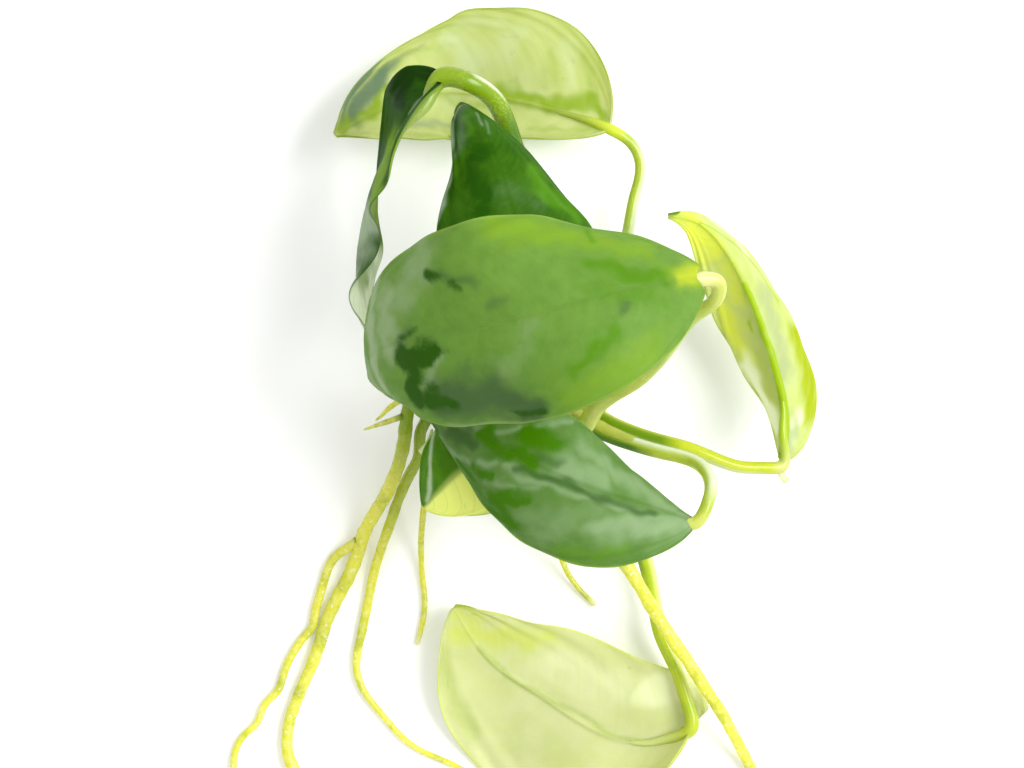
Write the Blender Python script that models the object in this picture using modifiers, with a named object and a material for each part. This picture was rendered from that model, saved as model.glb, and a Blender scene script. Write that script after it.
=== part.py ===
"""A small bare-root anubias, lying on a flat surface: a rhizome with eight stalked leaves and its roots.

Metres, +Z up. The plant is described as it is seen from above, X to the right and Y up the page. The origin
is on the surface that it lies on, under the middle of the plant.
"""

import bmesh
import bpy
import numpy as np

# Driving dimensions
BLADE_THICKNESS = 0.0006
BLADE_TIP_HALF_WIDTH = 0.0005
PIECE_GAP = 0.0005  # kept between a stalk or root and what it grows from
SPRING_RUN = 0.0015  # a stalk leaves the rhizome at right angles for this length
FINE_ROOT_HEIGHT = 0.00085  # middle of a fine root that lies on the surface
MAIN_ROOT_HEIGHT = 0.0011  # middle of a thick root that lies on the surface

# How finely the shapes are divided
BLADE_CELLS = (8, 16)  # across and along a blade
BEND_STEPS = 24  # steps in which the bend from the midrib to the margin is added up
STALK_POINTS = 16
RHIZOME_POINTS = 14
RING_ROUNDNESS = 2  # bevel resolution of a stalk or root
RHIZOME_ROUNDNESS = 3

# Surfaces: colours in linear red, green and blue
DARK_GREEN = (0.045, 0.16, 0.02)
MID_GREEN = (0.12, 0.30, 0.03)
PALE_GREEN = (0.42, 0.62, 0.12)
STALK_GREEN = (0.28, 0.46, 0.06)
ROOT_GREEN = (0.50, 0.62, 0.04)
RHIZOME_GREEN = (0.20, 0.22, 0.05)
BLADE_ROUGHNESS = 0.3
STALK_ROUGHNESS = 0.35
RHIZOME_ROUGHNESS = 0.6


def lengths_along(points):
    """Share of the line's length at each of its points, and the whole length."""
    steps = np.linalg.norm(np.diff(points, axis=0), axis=1)
    sums = np.concatenate([[0.0], np.cumsum(steps)])
    return sums / sums[-1], sums[-1]


def smooth(places, values, at):
    """The natural cubic spline through values at the given places, read at each number in at."""
    values = np.asarray(values, float)
    rows = values.reshape(len(values), -1)
    gaps = np.diff(places)[:, None]
    slopes = np.diff(rows, axis=0) / gaps
    bends = np.zeros_like(rows)
    if len(rows) > 2:
        inner = gaps[1:-1, 0]
        matrix = np.diag(2 * (gaps[:-1, 0] + gaps[1:, 0])) + np.diag(inner, 1) + np.diag(inner, -1)
        bends[1:-1] = np.linalg.solve(matrix, 6 * np.diff(slopes, axis=0))
    at = np.asarray(at, float)
    span = np.clip(np.searchsorted(places, at, side="right") - 1, 0, len(rows) - 2)
    gap = gaps[span]
    ahead = (np.asarray(places)[span + 1] - at)[..., None]
    behind = gap - ahead
    curved = (bends[span] * ahead**3 + bends[span + 1] * behind**3) / (6 * gap)
    straight = (rows[span] / gap - bends[span] * gap / 6) * ahead
    straight += (rows[span + 1] / gap - bends[span + 1] * gap / 6) * behind
    return (curved + straight).reshape(at.shape + values.shape[1:])


def evenly(values, at):
    """The smooth curve through values spread evenly over 0 to 1, read at each number in at."""
    return smooth(np.linspace(0, 1, len(values)), values, np.clip(at, 0, 1))


def unit(vectors):
    return vectors / np.linalg.norm(vectors, axis=-1, keepdims=True)


def heading(places, points, at):
    """Direction of the smooth curve through the points, read at each number in at."""
    step = 1e-3
    return unit(smooth(places, points, at + step) - smooth(places, points, at - step))


def blade_points(leaf, along, across):
    """Points on a leaf blade. along runs from 0 at the stalk to 1 at the tip, across from -1 at the left
    margin through 0 on the midrib to 1 at the right margin, as seen from the upper face.

    Each half leaves the midrib at its fold angle and bends on by its cup angle at the margin. Both angles
    change smoothly along the blade, and turn it towards its upper face where they are positive. The outline
    is along**a * (1 - along)**b, scaled to the half width, with an a and a b for each half, and the lobes
    carry the margin back past the stalk.
    """
    midrib = np.array(leaf["midrib"])
    places, length = lengths_along(midrib)
    left = across < 0
    out = np.abs(across)

    rise, fall = (np.where(left, *pair) for pair in leaf["outline"])
    widest = rise / (rise + fall)
    outline = (along / widest) ** rise * ((1 - along) / (1 - widest)) ** fall
    ends = leaf["heel"] * (1 - along) + BLADE_TIP_HALF_WIDTH * along
    half_width = np.hypot(np.where(left, *leaf["half_widths"]) * outline, ends)

    station = along - np.where(left, *leaf["lobes"]) / length * (1 - along) ** 5 * out**2
    fold, cup = (
        np.radians(np.where(left, evenly(leaf[angle][0], station), evenly(leaf[angle][1], station)))
        for angle in ("fold", "cup")
    )
    chord = unit(midrib[-1] - midrib[0])
    forward = heading(places, midrib, station)
    forward = unit(forward + (chord - forward) * leaf.get("straightness", 0.0))
    face = evenly(leaf["face"], station)
    face = unit(face - (face * forward).sum(-1, keepdims=True) * forward)
    right = np.cross(forward, face)

    sideways = np.zeros_like(along)
    upwards = np.zeros_like(along)
    for step in range(BEND_STEPS):
        angle = fold + cup * out * (step + 0.5) / BEND_STEPS
        sideways += np.cos(angle) * out * half_width / BEND_STEPS
        upwards += np.sin(angle) * out * half_width / BEND_STEPS
    sideways = np.where(left, -sideways, sideways)
    return smooth(places, midrib, station) + sideways[..., None] * right + upwards[..., None] * face


def clear_scene():
    for item in list(bpy.data.objects):
        bpy.data.objects.remove(item, do_unlink=True)


def finish(name, colour, roughness):
    material = bpy.data.materials.new(name)
    material.use_nodes = True
    shader = material.node_tree.nodes["Principled BSDF"]
    shader.inputs["Base Color"].default_value = (*colour, 1)
    shader.inputs["Roughness"].default_value = roughness
    shader.inputs["Metallic"].default_value = 0.0
    material.diffuse_color = (*colour, 1)
    return material


def add_piece(name, data, colour, roughness):
    data.materials.append(finish(name + "_finish", colour, roughness))
    piece = bpy.data.objects.new(name, data)
    plant.objects.link(piece)
    return piece


def add_blade(name, colour, leaf):
    """A thin closed blade: a grid laid over the blade's form, thickened evenly to both sides."""
    grid = bmesh.new()
    cells_across, cells_along = BLADE_CELLS
    bmesh.ops.create_grid(grid, x_segments=cells_across, y_segments=cells_along, size=1.0)
    flat = np.array([vertex.co[:] for vertex in grid.verts])
    along = (1 - np.cos(np.pi * (flat[:, 1].clip(-1, 1) + 1) / 2)) / 2
    for vertex, point in zip(grid.verts, blade_points(leaf, along, flat[:, 0])):
        vertex.co = point
    mesh = bpy.data.meshes.new(name)
    grid.to_mesh(mesh)
    grid.free()
    mesh.shade_smooth()
    piece = add_piece(name, mesh, colour, BLADE_ROUGHNESS)
    wall = piece.modifiers.new("blade thickness", "SOLIDIFY")
    wall.thickness = BLADE_THICKNESS
    wall.offset = 0.0


def add_stem(name, colour, route, radii, points, roundness=RING_ROUNDNESS, roughness=STALK_ROUGHNESS):
    """A round stem along the smooth curve through the route, with its radii spread evenly along it. Its
    rings stand closer together towards both ends, where it bends most and meets its neighbours square."""
    places, _ = lengths_along(route)
    at = (1 - np.cos(np.linspace(0, np.pi, points))) / 2
    curve = bpy.data.curves.new(name, "CURVE")
    curve.dimensions = "3D"
    curve.bevel_depth = max(radii)
    curve.bevel_resolution = roundness
    curve.use_fill_caps = True
    spline = curve.splines.new("POLY")
    spline.points.add(points - 1)
    thickness = np.interp(at, np.linspace(0, 1, len(radii)), radii) / max(radii)
    for point, place, share in zip(spline.points, smooth(places, route, at), thickness):
        point.co = (*place, 1)
        point.radius = share
    spline.use_smooth = True
    add_piece(name, curve, colour, roughness)


def spring_from_rhizome(station, clock):
    """First two points of a stem on the rhizome, at a share of its length and at a clock angle in degrees:
    0 is straight up, 90 is towards +Y and 270 towards -Y. The stem starts just clear of the surface."""
    places, _ = lengths_along(RHIZOME_ROUTE)
    middle = smooth(places, RHIZOME_ROUTE, station)
    forward = heading(places, RHIZOME_ROUTE, station)
    up = unit(np.array([0.0, 0.0, 1.0]) - forward * forward[2])
    side = np.cross(up, forward)
    outward = np.cos(np.radians(clock)) * up + np.sin(np.radians(clock)) * side
    radius = np.interp(station, np.linspace(0, 1, len(RHIZOME_RADII)), RHIZOME_RADII)
    start = middle + outward * (radius + PIECE_GAP)
    return [start, start + outward * SPRING_RUN]


def meet_blade(leaf):
    """Last point of a leaf's stalk: short of the start of its midrib, and on its underside."""
    midrib = np.array(leaf["midrib"])
    places, _ = lengths_along(midrib)
    forward = heading(places, midrib, 0.0)
    face = np.array(leaf["face"][0], float)
    face = unit(face - face.dot(forward) * forward)
    short, under = leaf["stalk_end"]
    return [midrib[0] - forward * short - face * under]


def add_leaf(name, colour, leaf, route):
    """A blade and its stalk, which springs from the rhizome and runs along the route to the blade."""
    add_blade(name, colour, leaf)
    stalk = np.array(spring_from_rhizome(*leaf["spring"]) + route + meet_blade(leaf))
    add_stem(name + "_stalk", STALK_GREEN, stalk, leaf["stalk_radii"], STALK_POINTS)


# Rhizome: thick where the leaves stand, thinning to its old end on the left
RHIZOME_ROUTE = np.array(
    [
        (-0.0160, 0.0023, 0.0110),
        (-0.0152, 0.0017, 0.0111),
        (-0.0133, 0.0007, 0.0110),
        (-0.0111, -0.0002, 0.0110),
        (-0.0060, -0.0018, 0.0115),
        (0.0014, -0.0028, 0.0120),
        (0.0058, -0.0031, 0.0123),
        (0.0084, -0.0031, 0.0125),
        (0.0099, -0.0031, 0.0125),
    ]
)
RHIZOME_RADII = (0.0009, 0.0019, 0.0024, 0.0027, 0.0033, 0.0037, 0.0038, 0.0036, 0.0020)

# Front leaf: the large one, its upper face to the sky, its tip bent down to the left
FRONT_LEAF = dict(
    midrib=[
        (0.0236, 0.0188, 0.0520),
        (0.0130, 0.0170, 0.0580),
        (0.0024, 0.0140, 0.0590),
        (-0.0082, 0.0115, 0.0540),
        (-0.0194, 0.0093, 0.0430),
        (-0.0215, 0.0055, 0.0300),
    ],
    face=[(0.15, 0.25, 1), (-0.1, 0.3, 1), (-0.05, -0.1, 1), (-0.4, 0, 0.9), (-1.1, -0.25, 0.1)],
    half_widths=(0.0145, 0.0145),
    outline=((0.55, 0.55), (0.68, 0.68)),
    fold=[(5, 6, 5), (-10, 10, 6)],
    cup=[(-45, -40, -55), (-30, -35, -55)],
    lobes=(0.0012, 0.0018),
    heel=0.0022,
    stalk_end=(0.0011, 0.0009),
    spring=(0.84, -10),
    stalk_radii=(0.0015, 0.0012, 0.0010, 0.0009),
)
FRONT_STALK = [
    (0.0085, -0.0021, 0.0225),
    (0.0110, 0.0016, 0.0280),
    (0.0161, 0.0051, 0.0350),
    (0.0204, 0.0098, 0.0410),
    (0.0241, 0.0142, 0.0455),
    (0.0265, 0.0163, 0.0480),
    (0.0264, 0.0184, 0.0498),
]

# Lower leaf: dark, its upper face to the sky, pointing to the upper left
LOWER_LEAF = dict(
    midrib=[
        (0.0234, -0.0144, 0.0340),
        (0.0166, -0.0120, 0.0360),
        (0.0096, -0.0098, 0.0370),
        (0.0013, -0.0063, 0.0360),
        (-0.0054, -0.0026, 0.0330),
        (-0.0138, 0.0016, 0.0280),
    ],
    face=[(0, 0.58, 1), (-0.25, 0.15, 1), (-0.2, -0.2, 1)],
    half_widths=(0.0115, 0.0100),
    outline=((0.62, 0.62), (0.88, 0.88)),
    fold=[(5, 10, 0), (-20, -5, 8)],
    cup=[(-40, -55, -35), (-55, -50, -30)],
    lobes=(0.0010, 0.0010),
    heel=0.0014,
    stalk_end=(0.0013, 0.0003),
    spring=(0.63, 40),
    stalk_radii=(0.0013, 0.0010, 0.0009, 0.0008),
)
LOWER_STALK = [
    (0.0039, 0.0012, 0.0178),
    (0.0074, -0.0001, 0.0188),
    (0.0115, -0.0024, 0.0198),
    (0.0158, -0.0040, 0.0210),
    (0.0200, -0.0052, 0.0230),
    (0.0242, -0.0063, 0.0250),
    (0.0263, -0.0079, 0.0280),
    (0.0268, -0.0100, 0.0310),
    (0.0263, -0.0119, 0.0330),
]

# Small leaf: below the lower leaf, its tip reaching out at the lower left
SMALL_LEAF = dict(
    midrib=[
        (0.0036, 0.0008, 0.0225),
        (-0.0001, -0.0017, 0.0255),
        (-0.0044, -0.0047, 0.0265),
        (-0.0089, -0.0081, 0.0260),
        (-0.0139, -0.0132, 0.0210),
    ],
    face=[(0, 0, 1), (0.1, 0, 1), (-0.1, 0, 1)],
    half_widths=(0.0085, 0.0080),
    outline=((0.52, 0.52), (0.65, 0.65)),
    fold=[(5, 5, 8), (-20, -15, -10)],
    cup=[(-20, -20, -15), (-20, -18, -25)],
    lobes=(0.0010, 0.0010),
    heel=0.0014,
    stalk_end=(0.0017, 0.0005),
    spring=(0.71, 0),
    stalk_radii=(0.0011, 0.0009, 0.0008),
)
SMALL_STALK = [
    (0.0030, -0.0018, 0.0195),
    (0.0050, 0.0004, 0.0206),
]

# Middle leaf: dark, pointing up the page, its tip curving down
MIDDLE_LEAF = dict(
    midrib=[
        (0.0048, 0.0115, 0.0300),
        (0.0020, 0.0191, 0.0330),
        (-0.0014, 0.0290, 0.0335),
        (-0.0037, 0.0367, 0.0305),
        (-0.0080, 0.0443, 0.0238),
        (-0.0087, 0.0453, 0.0180),
    ],
    face=[(0, 0, 1), (0, 0.2, 1), (-0.5, 1, 0.6)],
    half_widths=(0.0130, 0.0112),
    outline=((0.50, 0.50), (1.35, 1.50)),
    fold=[(12, 0, 5), (8, 0, -20)],
    cup=[(-45, -40, -60), (-35, -55, -70)],
    lobes=(0.0010, 0.0010),
    heel=0.0014,
    stalk_end=(0.0013, 0.0004),
    spring=(0.36, 50),
    stalk_radii=(0.0013, 0.0010, 0.0009),
)
MIDDLE_STALK = [
    (-0.0044, 0.0051, 0.0190),
    (-0.0013, 0.0084, 0.0235),
    (0.0024, 0.0100, 0.0267),
    (0.0046, 0.0103, 0.0285),
]

# Folded leaf: twisted along its length so that it stands on edge, its stalk hooking over at the top
FOLDED_LEAF = dict(
    midrib=[
        (-0.0124, 0.0475, 0.0240),
        (-0.0158, 0.0434, 0.0250),
        (-0.0186, 0.0388, 0.0230),
        (-0.0211, 0.0339, 0.0210),
        (-0.0226, 0.0290, 0.0200),
        (-0.0235, 0.0239, 0.0200),
        (-0.0236, 0.0196, 0.0200),
        (-0.0227, 0.0141, 0.0210),
        (-0.0214, 0.0100, 0.0230),
    ],
    face=[(-0.65, 0.3, 0.7), (-1.2, 0.25, 0.3), (-1.1, 0.7, 0.05), (-1.3, 0.1, -0.15), (-0.7, 0.25, -0.3)],
    half_widths=(0.0090, 0.0094),
    outline=((0.45, 0.45), (0.90, 0.90)),
    fold=[(13, 5, 5, -5, -5, -5, 0), (18, 10, -10, -5, -5, 0, 5)],
    cup=[(10, 30, -20, -10, -55, 30, -35), (20, -5, 30, -5, -40, -20, -35)],
    lobes=(0.0002, 0.0020),
    heel=0.0012,
    stalk_end=(0.0015, 0.0003),
    spring=(0.58, 85),
    stalk_radii=(0.0016, 0.0014, 0.0014, 0.0013),
)
FOLDED_STALK = [
    (0.0014, 0.0066, 0.0145),
    (0.0021, 0.0139, 0.0160),
    (0.0014, 0.0240, 0.0170),
    (0.0002, 0.0341, 0.0174),
    (-0.0012, 0.0395, 0.0182),
    (-0.0022, 0.0424, 0.0193),
    (-0.0036, 0.0451, 0.0210),
    (-0.0058, 0.0470, 0.0230),
    (-0.0084, 0.0481, 0.0240),
]

# Top leaf: pale, its underside to the sky, lying on its upper face, its tip curling up at the left
TOP_LEAF = dict(
    midrib=[
        (0.0127, 0.0425, 0.0076),
        (0.0059, 0.0450, 0.0046),
        (-0.0031, 0.0475, 0.0017),
        (-0.0121, 0.0485, 0.0007),
        (-0.0182, 0.0467, 0.0046),
        (-0.0272, 0.0411, 0.0126),
    ],
    face=[(0, -0.3, -1), (-0.45, 0.35, -1), (0.35, 0.25, -1)],
    half_widths=(0.0160, 0.0115),
    outline=((0.58, 0.58), (0.92, 0.92)),
    fold=[(12, 12, 12), (-5, -15, -5)],
    cup=[(-60, -70, -60), (-60, -85, -35)],
    lobes=(0.0005, 0.0005),
    heel=0.0011,
    stalk_end=(0.0008, 0.0),
    spring=(0.87, 100),
    stalk_radii=(0.0012, 0.0009, 0.0008, 0.0007),
)
TOP_STALK = [
    (0.0111, 0.0059, 0.0115),
    (0.0125, 0.0125, 0.0105),
    (0.0147, 0.0214, 0.0085),
    (0.0160, 0.0274, 0.0075),
    (0.0170, 0.0326, 0.0070),
    (0.0178, 0.0371, 0.0070),
    (0.0166, 0.0400, 0.0075),
]

# Right leaf: young and thin, folded up along its midrib, its underside to the sky
RIGHT_LEAF = dict(
    midrib=[
        (0.0383, -0.0063, 0.0150),
        (0.0386, -0.0007, 0.0150),
        (0.0368, 0.0080, 0.0160),
        (0.0336, 0.0168, 0.0170),
        (0.0292, 0.0247, 0.0180),
        (0.0251, 0.0282, 0.0190),
        (0.0214, 0.0288, 0.0200),
    ],
    face=[(0.45, -0.3, -1), (0.2, -0.15, -1), (-0.3, 0, -1)],
    half_widths=(0.0085, 0.0085),
    outline=((0.60, 0.60), (0.95, 0.95)),
    fold=[(55, 55, 40), (45, 40, 35)],
    cup=[(10, 15, 20), (20, 0, -15)],
    lobes=(0.0003, 0.0003),
    heel=0.0010,
    stalk_end=(0.0011, 0.0),
    spring=(0.80, 60),
    stalk_radii=(0.0012, 0.0010, 0.0009, 0.0008),
)
RIGHT_STALK = [
    (0.0083, 0.0019, 0.0149),
    (0.0115, -0.0001, 0.0159),
    (0.0159, -0.0023, 0.0170),
    (0.0202, -0.0037, 0.0177),
    (0.0246, -0.0049, 0.0180),
    (0.0319, -0.0075, 0.0170),
    (0.0356, -0.0077, 0.0160),
]

# Bottom leaf: pale, its underside to the sky, lying almost flat on the surface
BOTTOM_LEAF = dict(
    midrib=[
        (0.0252, -0.0474, 0.0020),
        (0.0210, -0.0491, 0.0016),
        (0.0150, -0.0490, 0.0012),
        (0.0090, -0.0463, 0.0009),
        (0.0030, -0.0423, 0.0008),
        (-0.0040, -0.0375, 0.0016),
        (-0.0100, -0.0289, 0.0040),
    ],
    face=[(0, -0.1, -1), (0, 0.1, -1), (-0.1, 0.1, -1)],
    straightness=0.6,
    half_widths=(0.0130, 0.0152),
    outline=((0.42, 0.42), (0.74, 0.56)),
    fold=[(0, 5, 10), (-45, 0, 0)],
    cup=[(-10, -30, -60), (-60, -15, -50)],
    lobes=(0.0030, 0.0),
    heel=0.0018,
    stalk_end=(0.0005, 0.0015),
    spring=(0.88, 260),
    stalk_radii=(0.0013, 0.0011, 0.0009),
)
BOTTOM_STALK = [
    (0.0124, -0.0097, 0.0088),
    (0.0160, -0.0153, 0.0075),
    (0.0180, -0.0199, 0.0058),
    (0.0194, -0.0248, 0.0046),
    (0.0203, -0.0296, 0.0040),
    (0.0214, -0.0339, 0.0037),
    (0.0234, -0.0381, 0.0036),
    (0.0248, -0.0425, 0.0036),
]

# Roots: each runs down from the rhizome and then lies along the surface. A root with no spring starts at the
# rhizome's old end, and the side root branches off the left one.
ROOTS = {
    "left_root": dict(
        radii=(0.00105, 0.00108, 0.00108, 0.0009, 0.0010),
        points=24,
        route=[
            (-0.0167, 0.0000, 0.0112),
            (-0.0173, -0.0049, 0.0106),
            (-0.0183, -0.0082, 0.0090),
            (-0.0198, -0.0115, 0.0068),
            (-0.0233, -0.0176, 0.0028),
            (-0.0255, -0.0237, 0.0013),
            (-0.0282, -0.0289, MAIN_ROOT_HEIGHT),
            (-0.0306, -0.0358, MAIN_ROOT_HEIGHT),
            (-0.0333, -0.0422, MAIN_ROOT_HEIGHT),
            (-0.0351, -0.0498, MAIN_ROOT_HEIGHT),
            (-0.0342, -0.0532, MAIN_ROOT_HEIGHT),
            (-0.0316, -0.0562, MAIN_ROOT_HEIGHT),
            (-0.0283, -0.0585, MAIN_ROOT_HEIGHT),
        ],
    ),
    "left_side_root": dict(
        radii=(0.0008, 0.0007, 0.00065, 0.00055, 0.0005),
        points=30,
        route=[
            (-0.0263, -0.0203, 0.0015),
            (-0.0273, -0.0210, 0.0011),
            (-0.0284, -0.0222, FINE_ROOT_HEIGHT),
            (-0.0292, -0.0239, FINE_ROOT_HEIGHT),
            (-0.0298, -0.0259, FINE_ROOT_HEIGHT),
            (-0.0304, -0.0280, FINE_ROOT_HEIGHT),
            (-0.0309, -0.0299, FINE_ROOT_HEIGHT),
            (-0.0312, -0.0317, FINE_ROOT_HEIGHT),
            (-0.0324, -0.0334, FINE_ROOT_HEIGHT),
            (-0.0336, -0.0350, FINE_ROOT_HEIGHT),
            (-0.0348, -0.0370, FINE_ROOT_HEIGHT),
            (-0.0357, -0.0393, FINE_ROOT_HEIGHT),
            (-0.0364, -0.0415, FINE_ROOT_HEIGHT),
            (-0.0381, -0.0433, FINE_ROOT_HEIGHT),
            (-0.0390, -0.0450, FINE_ROOT_HEIGHT),
            (-0.0395, -0.0463, FINE_ROOT_HEIGHT),
            (-0.0407, -0.0476, FINE_ROOT_HEIGHT),
            (-0.0420, -0.0489, FINE_ROOT_HEIGHT),
            (-0.0431, -0.0540, FINE_ROOT_HEIGHT),
            (-0.0422, -0.0576, FINE_ROOT_HEIGHT),
        ],
    ),
    "centre_root": dict(
        spring=(0.12, 245),
        radii=(0.0009, 0.00085, 0.0007, 0.0005, 0.0004),
        points=22,
        route=[
            (-0.0152, -0.0063, 0.0078),
            (-0.0166, -0.0091, 0.0066),
            (-0.0192, -0.0154, 0.0037),
            (-0.0219, -0.0234, 0.0012),
            (-0.0238, -0.0325, FINE_ROOT_HEIGHT),
            (-0.0246, -0.0388, FINE_ROOT_HEIGHT),
            (-0.0235, -0.0418, FINE_ROOT_HEIGHT),
            (-0.0214, -0.0445, FINE_ROOT_HEIGHT),
            (-0.0159, -0.0501, FINE_ROOT_HEIGHT),
            (-0.0128, -0.0516, FINE_ROOT_HEIGHT),
            (-0.0086, -0.0536, FINE_ROOT_HEIGHT),
            (-0.0049, -0.0563, FINE_ROOT_HEIGHT),
        ],
    ),
    "short_root": dict(
        spring=(0.21, 222),
        radii=(0.0006, 0.0005, 0.0004),
        points=10,
        route=[
            (-0.0133, -0.0083, 0.0058),
            (-0.0141, -0.0120, 0.0044),
            (-0.0149, -0.0189, 0.0019),
            (-0.0147, -0.0250, 0.0007),
            (-0.0144, -0.0280, 0.0006),
            (-0.0156, -0.0348, 0.0006),
        ],
    ),
    "right_root": dict(
        spring=(0.68, 245),
        radii=(0.0012, 0.0011, 0.0010, 0.0008),
        points=16,
        route=[
            (0.0056, -0.0116, 0.0104),
            (0.0118, -0.0167, 0.0118),
            (0.0154, -0.0218, 0.0120),
            (0.0206, -0.0303, 0.0095),
            (0.0267, -0.0394, 0.0070),
            (0.0295, -0.0438, 0.0055),
            (0.0324, -0.0488, 0.0032),
            (0.0345, -0.0529, 0.0016),
            (0.0361, -0.0565, MAIN_ROOT_HEIGHT),
            (0.0367, -0.0603, 0.0010),
        ],
    ),
    "hidden_root": dict(
        spring=(0.60, 215),
        radii=(0.0006, 0.0005, 0.0004),
        points=8,
        route=[
            (0.0032, -0.0138, 0.0055),
            (0.0055, -0.0196, 0.0030),
            (0.0075, -0.0245, 0.0013),
            (0.0114, -0.0289, 0.0006),
        ],
    ),
    "upper_rootlet": dict(
        radii=(0.0006, 0.00045, 0.00015),
        points=5,
        route=[
            (-0.0173, 0.0025, 0.0111),
            (-0.0197, 0.0007, 0.0105),
            (-0.0206, -0.0002, 0.0096),
            (-0.0215, -0.0009, 0.0090),
        ],
    ),
    "lower_rootlet": dict(
        radii=(0.0005, 0.0004, 0.00015),
        points=5,
        route=[
            (-0.0185, -0.0006, 0.0108),
            (-0.0202, -0.0012, 0.0090),
            (-0.0217, -0.0017, 0.0075),
            (-0.0234, -0.0023, 0.0060),
        ],
    ),
}

clear_scene()
plant = bpy.data.collections.new("bare_root_anubias")
bpy.context.scene.collection.children.link(plant)

add_stem(
    "rhizome",
    RHIZOME_GREEN,
    RHIZOME_ROUTE,
    RHIZOME_RADII,
    RHIZOME_POINTS,
    roundness=RHIZOME_ROUNDNESS,
    roughness=RHIZOME_ROUGHNESS,
)

add_leaf("front_leaf", MID_GREEN, FRONT_LEAF, FRONT_STALK)
add_leaf("lower_leaf", DARK_GREEN, LOWER_LEAF, LOWER_STALK)
add_leaf("small_leaf", DARK_GREEN, SMALL_LEAF, SMALL_STALK)
add_leaf("middle_leaf", DARK_GREEN, MIDDLE_LEAF, MIDDLE_STALK)
add_leaf("folded_leaf", MID_GREEN, FOLDED_LEAF, FOLDED_STALK)
add_leaf("top_leaf", PALE_GREEN, TOP_LEAF, TOP_STALK)
add_leaf("right_leaf", PALE_GREEN, RIGHT_LEAF, RIGHT_STALK)
add_leaf("bottom_leaf", PALE_GREEN, BOTTOM_LEAF, BOTTOM_STALK)

for name, root in ROOTS.items():
    spring = spring_from_rhizome(*root["spring"]) if "spring" in root else []
    add_stem(name, ROOT_GREEN, spring + root["route"], root["radii"], root["points"])
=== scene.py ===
"""Looks of the bare-root anubias: its leaves, stalks, rhizome and roots as the eye sees them, a pale floor,
soft studio light and a camera that looks straight down on the plant. Metres, in the frame of the solids."""

import bpy
import numpy as np
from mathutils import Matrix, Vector


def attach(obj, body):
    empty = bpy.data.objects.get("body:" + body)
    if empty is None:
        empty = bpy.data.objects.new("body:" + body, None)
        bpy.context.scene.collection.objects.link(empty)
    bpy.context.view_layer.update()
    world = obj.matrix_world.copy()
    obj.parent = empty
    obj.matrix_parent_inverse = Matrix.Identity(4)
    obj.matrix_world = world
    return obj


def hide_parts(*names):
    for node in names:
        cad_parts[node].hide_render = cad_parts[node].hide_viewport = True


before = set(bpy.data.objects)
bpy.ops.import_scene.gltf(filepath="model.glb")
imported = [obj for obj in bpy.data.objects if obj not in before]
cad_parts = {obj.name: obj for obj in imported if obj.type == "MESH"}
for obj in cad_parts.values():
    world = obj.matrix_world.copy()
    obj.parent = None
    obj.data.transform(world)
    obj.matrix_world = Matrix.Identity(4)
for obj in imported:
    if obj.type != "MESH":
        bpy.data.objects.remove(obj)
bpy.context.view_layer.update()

MM = 0.001
CHANCE = np.random.default_rng(11)  # seeded, so that every run grows the same plant

# Repeated from the solids, whose form every piece here follows
BEND_STEPS = 24  # steps in which the bend from the midrib to the margin is added up
BLADE_TIP_HALF_WIDTH = 0.0005
PIECE_GAP = 0.0005  # kept between a solid stalk or root and what it grows from
SPRING_RUN = 0.0015  # a stalk leaves the rhizome at right angles for this length
FINE_ROOT_HEIGHT = 0.00085  # middle of a fine root that lies on the surface
MAIN_ROOT_HEIGHT = 0.0011  # middle of a thick root that lies on the surface

# How finely the pieces are divided
BLADE_ROWS = 150
BLADE_COLUMNS = 111
STALK_SIDES = 22
STALK_RING_GAP = 0.3 * MM
ROOT_SIDES = 16
ROOT_RING_GAP = 0.22 * MM
RHIZOME_SIDES = 36
RHIZOME_RING_GAP = 0.158 * MM

# Sizes that only the looks have
BORDER_DRIFT = 0.55  # how far the border of a stroke of paint wanders, in widths of the stroke
MOST_DRIFT = 0.0008  # and the most that it wanders
STALK_END_RADIUS = 0.00008  # added all along a stalk, so that it doesn't end in a point
ROOT_START_INSIDE = 1.6 * MM  # how far a root starts inside what it grows from
ROOT_CROWN = 0.20  # share of a root that is greener, from the rhizome on
HAIR_RADIUS = 0.022 * MM
SCAR_SPACING = 2.3 * MM  # between the rings of leaf scars on the rhizome
VEIN_LEAD = 0.37  # how far the right half's side veins run ahead of the left half's, in steps
VEIN_WIDTH = 0.10  # of a side vein's ridge, in steps from one vein to the next
VEINS_CLEAR_OF_MIDRIB = 0.8 * MM
GROOVE_DEPTH = 0.13 * MM  # of the midrib in the upper face

# The camera looks straight down, one broad lamp stands at the upper right, and the floor glows a little
SENSOR_WIDTH = 36.0
LENS = 110.74
CAMERA_PLACE = (-0.00125, 0.00454, 0.475)
LAMP_PLACE = (0.60, 0.15, 0.73)
LAMP_AIM = (0, 0, 0.02)
LAMP_SIZE = 0.6
LAMP_POWER = 11.0
FLOOR_GLOW = 0.10
FLOOR_HALF_WIDTH = 2.0


def lengths_along(points):
    """Share of the line's length at each of its points, and the whole length."""
    steps = np.linalg.norm(np.diff(points, axis=0), axis=1)
    sums = np.concatenate([[0.0], np.cumsum(steps)])
    return sums / sums[-1], sums[-1]


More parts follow.
